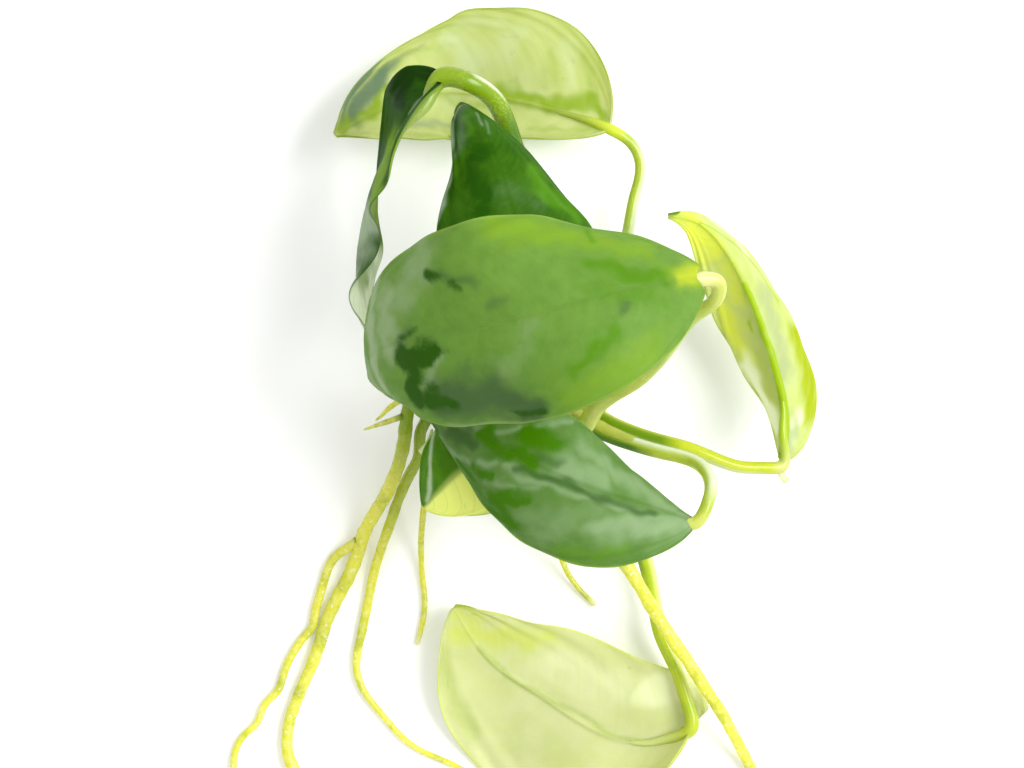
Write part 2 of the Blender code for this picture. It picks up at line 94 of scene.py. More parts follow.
def smooth(places, values, at):
    """The natural cubic spline through values at the given places, read at each number in at."""
    values = np.asarray(values, float)
    rows = values.reshape(len(values), -1)
    gaps = np.diff(places)[:, None]
    slopes = np.diff(rows, axis=0) / gaps
    bends = np.zeros_like(rows)
    if len(rows) > 2:
        inner = gaps[1:-1, 0]
        matrix = np.diag(2 * (gaps[:-1, 0] + gaps[1:, 0])) + np.diag(inner, 1) + np.diag(inner, -1)
        bends[1:-1] = np.linalg.solve(matrix, 6 * np.diff(slopes, axis=0))
    at = np.asarray(at, float)
    span = np.clip(np.searchsorted(places, at, side="right") - 1, 0, len(rows) - 2)
    gap = gaps[span]
    ahead = (np.asarray(places)[span + 1] - at)[..., None]
    behind = gap - ahead
    curved = (bends[span] * ahead**3 + bends[span + 1] * behind**3) / (6 * gap)
    straight = (rows[span] / gap - bends[span] * gap / 6) * ahead
    straight += (rows[span + 1] / gap - bends[span + 1] * gap / 6) * behind
    return (curved + straight).reshape(at.shape + values.shape[1:])


def evenly(values, at):
    """The smooth curve through values spread evenly over 0 to 1, read at each number in at."""
    return smooth(np.linspace(0, 1, len(values)), values, np.clip(at, 0, 1))


def linearly(values, at):
    """The straight lines through values spread evenly over 0 to 1, read at each number in at."""
    return np.interp(at, np.linspace(0, 1, len(values)), values)


def unit(vectors):
    return vectors / np.linalg.norm(vectors, axis=-1, keepdims=True)


def square_to(forward, vectors):
    """The vectors turned square to forward, one unit long."""
    return unit(vectors - (vectors * forward).sum(-1, keepdims=True) * forward)


def heading(places, points, at):
    """Direction of the smooth curve through the points, read at each number in at."""
    step = 1e-3
    return unit(smooth(places, points, at + step) - smooth(places, points, at - step))


def blade_middle(leaf, along, across):
    """Points midway through a leaf blade, with half its width there. along runs from 0 at the stalk to 1 at
    the tip, across from -1 at the left margin to 1 at the right one, as seen from the upper face.

    Each half leaves the midrib at its fold angle and bends on by its cup angle at the margin. The outline is
    along**a * (1 - along)**b, scaled to the half width, with an a and a b for each half, and the lobes carry
    the margin back past the stalk.
    """
    midrib = np.array(leaf["midrib"])
    places, length = lengths_along(midrib)
    left = across < 0
    out = np.abs(across)

    rise, fall = (np.where(left, *pair) for pair in leaf["outline"])
    widest = rise / (rise + fall)
    outline = (along / widest) ** rise * ((1 - along) / (1 - widest)) ** fall
    ends = leaf["heel"] * (1 - along) + BLADE_TIP_HALF_WIDTH * along
    half_width = np.hypot(np.where(left, *leaf["half_widths"]) * outline, ends)

    station = along - np.where(left, *leaf["lobes"]) / length * (1 - along) ** 5 * out**2
    fold, cup = (
        np.radians(np.where(left, evenly(leaf[angle][0], station), evenly(leaf[angle][1], station)))
        for angle in ("fold", "cup")
    )
    chord = unit(midrib[-1] - midrib[0])
    forward = heading(places, midrib, station)
    forward = unit(forward + (chord - forward) * leaf.get("straightness", 0.0))
    face = square_to(forward, evenly(leaf["face"], station))
    right = np.cross(forward, face)

    sideways = np.zeros_like(along)
    upwards = np.zeros_like(along)
    for step in range(BEND_STEPS):
        angle = fold + cup * out * (step + 0.5) / BEND_STEPS
        sideways += np.cos(angle) * out * half_width / BEND_STEPS
        upwards += np.sin(angle) * out * half_width / BEND_STEPS
    sideways = np.where(left, -sideways, sideways)
    points = smooth(places, midrib, station) + sideways[..., None] * right + upwards[..., None] * face
    return points, half_width


def lying(height, *places):
    """Points of a root that lies on the surface, its middle at one height."""
    return [(x, y, height) for x, y in places]


# Leaves, stalks and roots, as the solids have them. half_widths, fold, cup, lobes and both powers of outline
# are for the left half of a blade and then the right one. face is the way that the upper face looks, and fold
# and cup are degrees, each at even steps along the blade. heel is half the blade's width at the stalk,
# stalk_end how far the stalk stops short of the midrib and lies under it, spring the share of the rhizome and
# the clock angle at which a stalk or root leaves it, and radii run from there to the joint or the tip.
RHIZOME_ROUTE = np.array([
    (-0.0160, 0.0023, 0.0110), (-0.0152, 0.0017, 0.0111), (-0.0133, 0.0007, 0.0110),
    (-0.0111, -0.0002, 0.0110), (-0.0060, -0.0018, 0.0115), (0.0014, -0.0028, 0.0120),
    (0.0058, -0.0031, 0.0123), (0.0084, -0.0031, 0.0125), (0.0099, -0.0031, 0.0125),
])
RHIZOME_RADII = (0.0009, 0.0019, 0.0024, 0.0027, 0.0033, 0.0037, 0.0038, 0.0036, 0.0020)

LEAVES = {
    "front_leaf": dict(
        midrib=[
            (0.0236, 0.0188, 0.0520), (0.0130, 0.0170, 0.0580), (0.0024, 0.0140, 0.0590),
            (-0.0082, 0.0115, 0.0540), (-0.0194, 0.0093, 0.0430), (-0.0215, 0.0055, 0.0300),
        ],
        face=[(0.15, 0.25, 1), (-0.1, 0.3, 1), (-0.05, -0.1, 1), (-0.4, 0, 0.9), (-1.1, -0.25, 0.1)],
        half_widths=(0.0145, 0.0145), outline=((0.55, 0.55), (0.68, 0.68)), fold=[(5, 6, 5), (-10, 10, 6)],
        cup=[(-45, -40, -55), (-30, -35, -55)], lobes=(0.0012, 0.0018), heel=0.0022,
        stalk_end=(0.0011, 0.0009), spring=(0.84, -10), radii=(0.0015, 0.0012, 0.0010, 0.0009),
        stalk=[
            (0.0085, -0.0021, 0.0225), (0.0110, 0.0016, 0.0280), (0.0161, 0.0051, 0.0350),
            (0.0204, 0.0098, 0.0410), (0.0241, 0.0142, 0.0455), (0.0265, 0.0163, 0.0480),
            (0.0264, 0.0184, 0.0498),
        ],
    ),
    "lower_leaf": dict(
        midrib=[
            (0.0234, -0.0144, 0.0340), (0.0166, -0.0120, 0.0360), (0.0096, -0.0098, 0.0370),
            (0.0013, -0.0063, 0.0360), (-0.0054, -0.0026, 0.0330), (-0.0138, 0.0016, 0.0280),
        ],
        face=[(0, 0.58, 1), (-0.25, 0.15, 1), (-0.2, -0.2, 1)], half_widths=(0.0115, 0.0100),
        outline=((0.62, 0.62), (0.88, 0.88)), fold=[(5, 10, 0), (-20, -5, 8)],
        cup=[(-40, -55, -35), (-55, -50, -30)], lobes=(0.0010, 0.0010), heel=0.0014,
        stalk_end=(0.0013, 0.0003), spring=(0.63, 40), radii=(0.0013, 0.0010, 0.0009, 0.0008),
        stalk=[
            (0.0039, 0.0012, 0.0178), (0.0074, -0.0001, 0.0188), (0.0115, -0.0024, 0.0198),
            (0.0158, -0.0040, 0.0210), (0.0200, -0.0052, 0.0230), (0.0242, -0.0063, 0.0250),
            (0.0263, -0.0079, 0.0280), (0.0268, -0.0100, 0.0310), (0.0263, -0.0119, 0.0330),
        ],
    ),
    "small_leaf": dict(
        midrib=[
            (0.0036, 0.0008, 0.0225), (-0.0001, -0.0017, 0.0255), (-0.0044, -0.0047, 0.0265),
            (-0.0089, -0.0081, 0.0260), (-0.0139, -0.0132, 0.0210),
        ],
        face=[(0, 0, 1), (0.1, 0, 1), (-0.1, 0, 1)], half_widths=(0.0085, 0.0080),
        outline=((0.52, 0.52), (0.65, 0.65)), fold=[(5, 5, 8), (-20, -15, -10)],
        cup=[(-20, -20, -15), (-20, -18, -25)], lobes=(0.0010, 0.0010), heel=0.0014,
        stalk_end=(0.0017, 0.0005), spring=(0.71, 0), radii=(0.0011, 0.0009, 0.0008),
        stalk=[(0.0030, -0.0018, 0.0195), (0.0050, 0.0004, 0.0206)],
    ),
    "middle_leaf": dict(
        midrib=[
            (0.0048, 0.0115, 0.0300), (0.0020, 0.0191, 0.0330), (-0.0014, 0.0290, 0.0335),
            (-0.0037, 0.0367, 0.0305), (-0.0080, 0.0443, 0.0238), (-0.0087, 0.0453, 0.0180),
        ],
        face=[(0, 0, 1), (0, 0.2, 1), (-0.5, 1, 0.6)], half_widths=(0.0130, 0.0112),
        outline=((0.50, 0.50), (1.35, 1.50)), fold=[(12, 0, 5), (8, 0, -20)],
        cup=[(-45, -40, -60), (-35, -55, -70)], lobes=(0.0010, 0.0010), heel=0.0014,
        stalk_end=(0.0013, 0.0004), spring=(0.36, 50), radii=(0.0013, 0.0010, 0.0009),
        stalk=[
            (-0.0044, 0.0051, 0.0190), (-0.0013, 0.0084, 0.0235), (0.0024, 0.0100, 0.0267),
            (0.0046, 0.0103, 0.0285),
        ],
    ),
    "folded_leaf": dict(
        midrib=[
            (-0.0124, 0.0475, 0.0240), (-0.0158, 0.0434, 0.0250), (-0.0186, 0.0388, 0.0230),
            (-0.0211, 0.0339, 0.0210), (-0.0226, 0.0290, 0.0200), (-0.0235, 0.0239, 0.0200),
            (-0.0236, 0.0196, 0.0200), (-0.0227, 0.0141, 0.0210), (-0.0214, 0.0100, 0.0230),
        ],
        face=[
            (-0.65, 0.3, 0.7), (-1.2, 0.25, 0.3), (-1.1, 0.7, 0.05), (-1.3, 0.1, -0.15),
            (-0.7, 0.25, -0.3),
        ],
        half_widths=(0.0090, 0.0094), outline=((0.45, 0.45), (0.90, 0.90)),
        fold=[(13, 5, 5, -5, -5, -5, 0), (18, 10, -10, -5, -5, 0, 5)],
        cup=[(10, 30, -20, -10, -55, 30, -35), (20, -5, 30, -5, -40, -20, -35)], lobes=(0.0002, 0.0020),
        heel=0.0012, stalk_end=(0.0015, 0.0003), spring=(0.58, 85), radii=(0.0016, 0.0014, 0.0014, 0.0013),
        stalk=[
            (0.0014, 0.0066, 0.0145), (0.0021, 0.0139, 0.0160), (0.0014, 0.0240, 0.0170),
            (0.0002, 0.0341, 0.0174), (-0.0012, 0.0395, 0.0182), (-0.0022, 0.0424, 0.0193),
            (-0.0036, 0.0451, 0.0210), (-0.0058, 0.0470, 0.0230), (-0.0084, 0.0481, 0.0240),
        ],
    ),
    "top_leaf": dict(
        midrib=[
            (0.0127, 0.0425, 0.0076), (0.0059, 0.0450, 0.0046), (-0.0031, 0.0475, 0.0017),
            (-0.0121, 0.0485, 0.0007), (-0.0182, 0.0467, 0.0046), (-0.0272, 0.0411, 0.0126),
        ],
        face=[(0, -0.3, -1), (-0.45, 0.35, -1), (0.35, 0.25, -1)], half_widths=(0.0160, 0.0115),
        outline=((0.58, 0.58), (0.92, 0.92)), fold=[(12, 12, 12), (-5, -15, -5)],
        cup=[(-60, -70, -60), (-60, -85, -35)], lobes=(0.0005, 0.0005), heel=0.0011,
        stalk_end=(0.0008, 0.0), spring=(0.87, 100), radii=(0.0012, 0.0009, 0.0008, 0.0007),
        stalk=[
            (0.0111, 0.0059, 0.0115), (0.0125, 0.0125, 0.0105), (0.0147, 0.0214, 0.0085),
            (0.0160, 0.0274, 0.0075), (0.0170, 0.0326, 0.0070), (0.0178, 0.0371, 0.0070),
            (0.0166, 0.0400, 0.0075),
        ],
    ),
    "right_leaf": dict(
        midrib=[
            (0.0383, -0.0063, 0.0150), (0.0386, -0.0007, 0.0150), (0.0368, 0.0080, 0.0160),
            (0.0336, 0.0168, 0.0170), (0.0292, 0.0247, 0.0180), (0.0251, 0.0282, 0.0190),
            (0.0214, 0.0288, 0.0200),
        ],
        face=[(0.45, -0.3, -1), (0.2, -0.15, -1), (-0.3, 0, -1)], half_widths=(0.0085, 0.0085),
        outline=((0.60, 0.60), (0.95, 0.95)), fold=[(55, 55, 40), (45, 40, 35)],
        cup=[(10, 15, 20), (20, 0, -15)], lobes=(0.0003, 0.0003), heel=0.0010, stalk_end=(0.0011, 0.0),
        spring=(0.80, 60), radii=(0.0012, 0.0010, 0.0009, 0.0008),
        stalk=[
            (0.0083, 0.0019, 0.0149), (0.0115, -0.0001, 0.0159), (0.0159, -0.0023, 0.0170),
            (0.0202, -0.0037, 0.0177), (0.0246, -0.0049, 0.0180), (0.0319, -0.0075, 0.0170),
            (0.0356, -0.0077, 0.0160),
        ],
    ),
    "bottom_leaf": dict(
        midrib=[
            (0.0252, -0.0474, 0.0020), (0.0210, -0.0491, 0.0016), (0.0150, -0.0490, 0.0012),
            (0.0090, -0.0463, 0.0009), (0.0030, -0.0423, 0.0008), (-0.0040, -0.0375, 0.0016),
            (-0.0100, -0.0289, 0.0040),
        ],
        face=[(0, -0.1, -1), (0, 0.1, -1), (-0.1, 0.1, -1)], straightness=0.6,
        half_widths=(0.0130, 0.0152), outline=((0.42, 0.42), (0.74, 0.56)), fold=[(0, 5, 10), (-45, 0, 0)],
        cup=[(-10, -30, -60), (-60, -15, -50)], lobes=(0.0030, 0.0), heel=0.0018,
        stalk_end=(0.0005, 0.0015), spring=(0.88, 260), radii=(0.0013, 0.0011, 0.0009),
        stalk=[
            (0.0124, -0.0097, 0.0088), (0.0160, -0.0153, 0.0075), (0.0180, -0.0199, 0.0058),
            (0.0194, -0.0248, 0.0046), (0.0203, -0.0296, 0.0040), (0.0214, -0.0339, 0.0037),
            (0.0234, -0.0381, 0.0036), (0.0248, -0.0425, 0.0036),
        ],
    ),
}

ROOTS = {
    "left_root": dict(
        radii=(0.00105, 0.00108, 0.00108, 0.0009, 0.0010),
        route=[
            (-0.0167, 0.0000, 0.0112), (-0.0173, -0.0049, 0.0106), (-0.0183, -0.0082, 0.0090),
            (-0.0198, -0.0115, 0.0068), (-0.0233, -0.0176, 0.0028), (-0.0255, -0.0237, 0.0013),
            *lying(
                MAIN_ROOT_HEIGHT,
                (-0.0282, -0.0289), (-0.0306, -0.0358), (-0.0333, -0.0422), (-0.0351, -0.0498),
                (-0.0342, -0.0532), (-0.0316, -0.0562), (-0.0283, -0.0585),
            ),
        ],
    ),
    "left_side_root": dict(
        crown=0.01, inside=0.0024, radii=(0.0008, 0.0007, 0.00065, 0.00055, 0.0005),
        route=[
            (-0.0263, -0.0203, 0.0015), (-0.0273, -0.0210, 0.0011),
            *lying(
                FINE_ROOT_HEIGHT,
                (-0.0284, -0.0222), (-0.0292, -0.0239), (-0.0298, -0.0259), (-0.0304, -0.0280),
                (-0.0309, -0.0299), (-0.0312, -0.0317), (-0.0324, -0.0334), (-0.0336, -0.0350),
                (-0.0348, -0.0370), (-0.0357, -0.0393), (-0.0364, -0.0415), (-0.0381, -0.0433),
                (-0.0390, -0.0450), (-0.0395, -0.0463), (-0.0407, -0.0476), (-0.0420, -0.0489),
                (-0.0431, -0.0540), (-0.0422, -0.0576),
            ),
        ],
    ),
    "centre_root": dict(
        crown=0.36, spring=(0.12, 245), radii=(0.0009, 0.00085, 0.0007, 0.0005, 0.0004),
        route=[
            (-0.0152, -0.0063, 0.0078), (-0.0166, -0.0091, 0.0066), (-0.0192, -0.0154, 0.0037),
            (-0.0219, -0.0234, 0.0012),
            *lying(
                FINE_ROOT_HEIGHT,
                (-0.0238, -0.0325), (-0.0246, -0.0388), (-0.0235, -0.0418), (-0.0214, -0.0445),
                (-0.0159, -0.0501), (-0.0128, -0.0516), (-0.0086, -0.0536), (-0.0049, -0.0563),
            ),
        ],
    ),
    "short_root": dict(
        spring=(0.21, 222), radii=(0.0006, 0.0005, 0.0004),
        route=[
            (-0.0133, -0.0083, 0.0058), (-0.0141, -0.0120, 0.0044), (-0.0149, -0.0189, 0.0019),
            (-0.0147, -0.0250, 0.0007), (-0.0144, -0.0280, 0.0006), (-0.0156, -0.0348, 0.0006),
        ],
    ),
    "right_root": dict(
        spring=(0.68, 245), radii=(0.0012, 0.0011, 0.0010, 0.0008),
        route=[
            (0.0056, -0.0116, 0.0104), (0.0118, -0.0167, 0.0118), (0.0154, -0.0218, 0.0120),
            (0.0206, -0.0303, 0.0095), (0.0267, -0.0394, 0.0070), (0.0295, -0.0438, 0.0055),
            (0.0324, -0.0488, 0.0032), (0.0345, -0.0529, 0.0016), (0.0361, -0.0565, MAIN_ROOT_HEIGHT),
            (0.0367, -0.0603, 0.0010),
        ],
    ),
    "hidden_root": dict(
        spring=(0.60, 215), radii=(0.0006, 0.0005, 0.0004),
        route=[
            (0.0032, -0.0138, 0.0055), (0.0055, -0.0196, 0.0030), (0.0075, -0.0245, 0.0013),
            (0.0114, -0.0289, 0.0006),
        ],
    ),
    "upper_rootlet": dict(
        radii=(0.0006, 0.00045, 0.00015),
        route=[
            (-0.0173, 0.0025, 0.0111), (-0.0197, 0.0007, 0.0105), (-0.0206, -0.0002, 0.0096),
            (-0.0215, -0.0009, 0.0090),
        ],
    ),
    "lower_rootlet": dict(
        radii=(0.0005, 0.0004, 0.00015),
        route=[
            (-0.0185, -0.0006, 0.0108), (-0.0202, -0.0012, 0.0090), (-0.0217, -0.0017, 0.0075),
            (-0.0234, -0.0023, 0.0060),
        ],
    ),
}

# Thin trim: the papery sheath along the lower leaf's stalk, a dry thread by the roots and one at the joint of
# the right leaf
SHEATHS = {
    "stalk_sheath": dict(
        route=[
            (0.0078, 0.0009, 0.0196), (0.0103, -0.0004, 0.0203), (0.0133, -0.0020, 0.0211),
            (0.0163, -0.0032, 0.0219),
        ],
        face=(0.28, 0.68, 0.75), half=0.0011, bend=-70,
    ),
    "root_thread": dict(
        route=[(-0.0130, -0.0021, 0.0136), (-0.0136, -0.0040, 0.0128), (-0.0148, -0.0056, 0.0112)],
        face=(0, 0, 1), half=0.00016, bend=-40,
    ),
    "joint_thread": dict(
        route=[(0.0377, -0.0078, 0.0152), (0.0384, -0.0090, 0.0146), (0.0390, -0.0098, 0.0138)],
        face=(0, 0, 1), half=0.0004, bend=-40,
    ),
}


# Materials

NOISE = "ShaderNodeTexNoise"
MATH = "ShaderNodeMath"
STEP = "ShaderNodeMapRange"  # 0 value, 1 low, 2 high, 3 result at low, 4 result at high
SOFT = {"interpolation_type": "SMOOTHSTEP"}
WAX_IOR = 1.42

# What is painted on a blade over its skin. Noise shifts each border by up to the first number, and the
# colour comes in between the other two.
PAINTS = {
    "warm": (0.30, 0.16, 1.20),
    "vivid": (0.50, 0.28, 1.25),
    "pale": (0.30, 0.17, 1.15),
    # Painted sheen: the grey gleam of the gloss, drawn into the colour; on the right leaf it also greys the
    # half that faces the lamp, a painted shade
    "painted_sheen": (0.45, 0.26, 1.30),
    # Painted shade where a blade and another leaf overlap, a painted grey sheen at the top leaf's rolled tip,
    # and darker midrib lines on the lower, right and bottom leaves
    "shade": (0.60, 0.34, 1.25),
    # Dark patches: mostly painted deep green where the gloss shows no bright reflection and where shade
    # falls; the bottom leaf's brown spots and the right leaf's dark tip are their own colour
    "dark": (1.50, 0.95, 1.60),
}

# The layers of a blade's colour over its skin, bottom layer first
LAYERS = ("cloud", "speck", "fibre", "warm", "vivid", "pale", "painted_sheen", "vein", "rib", "shade", "dark", "edge")


def linear(colour):
    """An sRGB hex colour as linear red, green and blue, with a full alpha."""
    parts = np.array([int(colour[place : place + 2], 16) for place in (1, 3, 5)]) / 255
    bright = ((parts + 0.055) / 1.055) ** 2.4
    return (*np.where(parts <= 0.04045, parts / 12.92, bright), 1.0)


def add_node(tree, kind, sockets, output=0, **options):
    """Adds a node with its options, and gives one of its outputs. sockets maps an input's name or number to
    the output that it links from, or to its value."""
    made = tree.nodes.new(kind)
    for option, value in options.items():
        setattr(made, option, value)
    for socket, value in sockets.items():
        if isinstance(value, bpy.types.NodeSocket):
            tree.links.new(value, made.inputs[socket])
        else:
            made.inputs[socket].default_value = value
    return made.outputs[output] if made.outputs else None


def overlay(tree, colour, layers):
    """Lays the colour of each (share, colour) over the one below it, and gives the last result."""
    for share, over in layers:
        over = linear(over) if isinstance(over, str) else over
        colour = linear(colour) if isinstance(colour, str) else colour
        colour = add_node(tree, "ShaderNodeMix", {0: share, 6: colour, 7: over}, 2, data_type="RGBA")
    return colour


def new_material(name):
    material = bpy.data.materials.new(name)
    material.use_nodes = True
    material.node_tree.nodes.clear()
    return material, material.node_tree


def living_tissue(tree, colour, through, roughness, normal, look):
    """Ends a material as thin living tissue: a waxy or wet skin over flesh that lets some light through."""
    gloss = {"Specular IOR Level": look["specular"], "Coat Weight": look["coat"], "Coat Roughness": 0.12}
    skin = {"Base Color": colour, "Roughness": roughness, "Normal": normal, "IOR": WAX_IOR, **gloss}
    skin = add_node(tree, "ShaderNodeBsdfPrincipled", skin)
    flesh = add_node(tree, "ShaderNodeBsdfTranslucent", {"Color": through, "Normal": normal})
    surface = add_node(tree, "ShaderNodeMixShader", {0: look["share"], 1: skin, 2: flesh})
    add_node(tree, "ShaderNodeOutputMaterial", {"Surface": surface})


def leaf_finish(name, look):
    """Leaf skin: a waxy cuticle over green flesh. The upper face is darker than the under face, light shining
    through is yellower than light shining off, and painted sheen, painted shade, slightly glossier dark
    patches of painted deep green where the gloss shows no bright reflection, and veins are laid over both."""
    material, tree = new_material(name)
    place = add_node(tree, "ShaderNodeTexCoord", {}, "Object")
    fields = {
        field: add_node(tree, "ShaderNodeAttribute", {}, "Fac", attribute_name=field)
        for field in ("face", "off_midrib", "lateral", "across", *PAINTS)
    }
    cloud = add_node(tree, NOISE, {"Vector": place, "Scale": 1 / (7 * MM), "Detail": 3.0, "Distortion": 0.4})
    mottle = add_node(tree, NOISE, {"Vector": place, "Scale": 1 / (1.6 * MM), "Detail": 4.0})
    # Skin cells are about 0.05 mm across, and drawn coarser here so that they show
    cells = add_node(tree, NOISE, {"Vector": place, "Scale": 1 / (0.22 * MM), "Detail": 1.0})
    blots = {"Vector": place, "Scale": 1 / (2.8 * MM), "Detail": 6.0, "Roughness": 0.62, "Distortion": 0.3}
    blots = add_node(tree, NOISE, blots)
    # Fibres run with the side veins: seven to a vein's step, and long across the blade
    weave = {0: fields["lateral"], 1: fields["across"], 2: fields["face"]}
    weave = add_node(tree, "ShaderNodeCombineXYZ", weave)
    weave = add_node(tree, "ShaderNodeMapping", {"Vector": weave, "Scale": (7.0, 1.6, 0.0)})
    fibres = add_node(tree, NOISE, {"Vector": weave, "Scale": 1.0, "Detail": 2.0})

    shares = {"cloud": add_node(tree, STEP, {0: cloud, 1: 0.38, 2: 0.66}, **SOFT)}
    shares["speck"] = add_node(tree, STEP, {0: mottle, 1: 0.35, 2: 0.70, 4: look["mottle"]}, **SOFT)
    shares["fibre"] = add_node(tree, STEP, {0: fibres, 1: 0.35, 2: 0.70, 4: look["fibres"]}, **SOFT)
    for paint, (ragged, low, high) in PAINTS.items():
        border = add_node(tree, MATH, {0: blots, 1: ragged, 2: fields[paint]}, operation="MULTIPLY_ADD")
        shares[paint] = add_node(tree, STEP, {0: border, 1: low, 2: high}, **SOFT)
    to_vein = add_node(tree, MATH, {0: fields["lateral"], 1: 0.5}, operation="PINGPONG")
    vein = {0: to_vein, 1: 0.0, 2: look["vein_width"], 3: look["veins_show"], 4: 0.0}
    shares["vein"] = add_node(tree, STEP, vein, **SOFT)
    rib = {0: fields["off_midrib"], 1: 0.1 * MM, 2: look["rib_width"] * MM, 3: look["rib_shows"], 4: 0.0}
    shares["rib"] = add_node(tree, STEP, rib, **SOFT)
    out = add_node(tree, MATH, {0: fields["across"]}, operation="ABSOLUTE")
    shares["edge"] = add_node(tree, STEP, {0: out, 1: 0.965, 2: 0.995, 4: 0.7}, **SOFT)

    upper, under, through = (
        overlay(tree, look["skin"][side], [(shares[layer], look[layer][side]) for layer in LAYERS])
        for side in range(3)
    )
    colour = overlay(tree, under, [(fields["face"], upper)])
    dull = {0: cloud, 1: 0.3, 2: 0.7, 3: look["roughness"], 4: look["roughness"] + 0.10}
    dull = add_node(tree, STEP, dull, **SOFT)
    dark_patch_gloss = add_node(tree, STEP, {0: shares["dark"], 4: -0.12})
    roughness = add_node(tree, MATH, {0: dull, 1: dark_patch_gloss}, operation="ADD")
    relief = add_node(tree, MATH, {0: fibres, 1: 0.5, 2: cells}, operation="MULTIPLY_ADD")
    bump = {"Height": relief, "Strength": look["bump"], "Distance": 0.05 * MM}
    normal = add_node(tree, "ShaderNodeBump", bump)
    living_tissue(tree, colour, through, roughness, normal, look)
    return material


def stalk_finish(name, look, rib_colour):
    """Stalk skin: smooth, waxy and finely streaked along its length, with a stripe along one side that is
    partly its own colour and partly painted shade, a painted highlight along another, a foot and a joint in
    colours of their own, and the midrib's colour where it runs on."""
    material, tree = new_material(name)
    place = add_node(tree, "ShaderNodeTexCoord", {}, "Object")
    fields = {
        field: add_node(tree, "ShaderNodeAttribute", {}, "Fac", attribute_name=field)
        for field in ("along", "ring_x", "ring_y", "stripe", "painted_highlight")
    }
    # Streaks are narrow round the stalk and long down it
    ring = {0: fields["ring_x"], 1: fields["ring_y"], 2: fields["along"]}
    ring = add_node(tree, "ShaderNodeCombineXYZ", ring)
    ring = add_node(tree, "ShaderNodeMapping", {"Vector": ring, "Scale": (3.0, 3.0, 1.5)})
    streak = add_node(tree, NOISE, {"Vector": ring, "Scale": 1.0, "Detail": 2.0})
    cloud = add_node(tree, NOISE, {"Vector": place, "Scale": 1 / (3.5 * MM), "Detail": 3.0})
    # Skin cells are about 0.05 mm across, and drawn coarser here so that they show
    cells = add_node(tree, NOISE, {"Vector": place, "Scale": 1 / (0.35 * MM), "Detail": 2.0})
    cloudy = add_node(tree, STEP, {0: cloud, 1: 0.38, 2: 0.66}, **SOFT)
    streaked = add_node(tree, STEP, {0: streak, 1: 0.35, 2: 0.68, 4: 0.7}, **SOFT)
    grains = add_node(tree, STEP, {0: cells, 1: 0.48, 2: 0.66, 4: look["grains"]}, **SOFT)
    low, high = look["base_span"]
    foot = add_node(tree, STEP, {0: fields["along"], 1: low, 2: high, 3: 1.0, 4: 0.0}, **SOFT)
    joint = {0: fields["along"], 1: look["joint_from"], 2: look["joint_from"] + 0.06}
    joint = add_node(tree, STEP, joint, **SOFT)
    rib = add_node(tree, STEP, {0: fields["along"], 1: 1.0, 2: 1.12}, **SOFT)
    marks = [(fields["stripe"], look["stripe"]), (fields["painted_highlight"], look["painted_highlight"])]
    skin = [(cloudy, look["cloud"]), (streaked, look["streak"]), (grains, look["grain"])]
    ends = [(joint, look["joint"]), (rib, rib_colour)]
    colour = overlay(tree, look["skin"], [*skin, (foot, look["base"]), *marks, *ends])
    through = overlay(tree, look["through"], [(cloudy, look["through_cloud"]), *marks])
    relief = add_node(tree, MATH, {0: streak, 1: cells}, operation="ADD")
    bump = {"Height": relief, "Strength": 0.35, "Distance": 0.06 * MM}
    normal = add_node(tree, "ShaderNodeBump", bump)
    roughness = add_node(tree, STEP, {0: cloud, 1: 0.3, 2: 0.7, 3: 0.24, 4: 0.34}, **SOFT)
    living_tissue(tree, colour, through, roughness, normal, look)
    return material


def root_finish(name, look):
    """Wet root: soft pale flesh under a thin film of water, greener in stretches, velvety with hairs and
    dotted with painted white glints.
    """
    material, tree = new_material(name)
    place = add_node(tree, "ShaderNodeTexCoord", {}, "Object")
    along = add_node(tree, "ShaderNodeAttribute", {}, "Fac", attribute_name="along")
    crown = add_node(tree, "ShaderNodeAttribute", {}, "Fac", attribute_name="crown")
    cloud = add_node(tree, NOISE, {"Vector": place, "Scale": 1 / (5 * MM), "Detail": 3.0, "Distortion": 0.6})
    mottle = add_node(tree, NOISE, {"Vector": place, "Scale": 1 / (0.8 * MM), "Detail": 3.0})
    # The feet of the hairs are about 0.02 mm across, and drawn coarser here so that they show
    grain = add_node(tree, NOISE, {"Vector": place, "Scale": 1 / (0.16 * MM), "Detail": 2.0})
    # Painted glints: tiny white highlights drawn into the colour where this noise peaks
    painted_glint = add_node(tree, NOISE, {"Vector": place, "Scale": 1 / (0.5 * MM), "Detail": 2.0})
    stretch = add_node(tree, STEP, {0: cloud, 1: 0.44, 2: 0.70, 4: 0.8}, **SOFT)
    mottled = add_node(tree, STEP, {0: mottle, 1: 0.40, 2: 0.70, 4: 0.6}, **SOFT)
    painted_glint_share = add_node(tree, STEP, {0: painted_glint, 1: 0.62, 2: 0.70, 4: 0.9}, **SOFT)
    tip = add_node(tree, STEP, {0: along, 1: 0.93, 2: 1.0}, **SOFT)
    green = (stretch, look["green"])
    ends = [(crown, look["crown"]), (tip, look["tip"])]
    colour = overlay(tree, look["skin"], [green, (mottled, look["mottle"]), (painted_glint_share, look["painted_glint"]), *ends])
    through = overlay(tree, look["through"], [green, *ends])
    relief = add_node(tree, MATH, {0: mottle, 1: 1.6, 2: grain}, operation="MULTIPLY_ADD")
    bump = {"Height": relief, "Strength": 0.7, "Distance": 0.12 * MM}
    normal = add_node(tree, "ShaderNodeBump", bump)
    roughness = add_node(tree, STEP, {0: mottle, 1: 0.35, 2: 0.65, 3: 0.22, 4: 0.45}, **SOFT)
    living_tissue(tree, colour, through, roughness, normal, look)
    return material


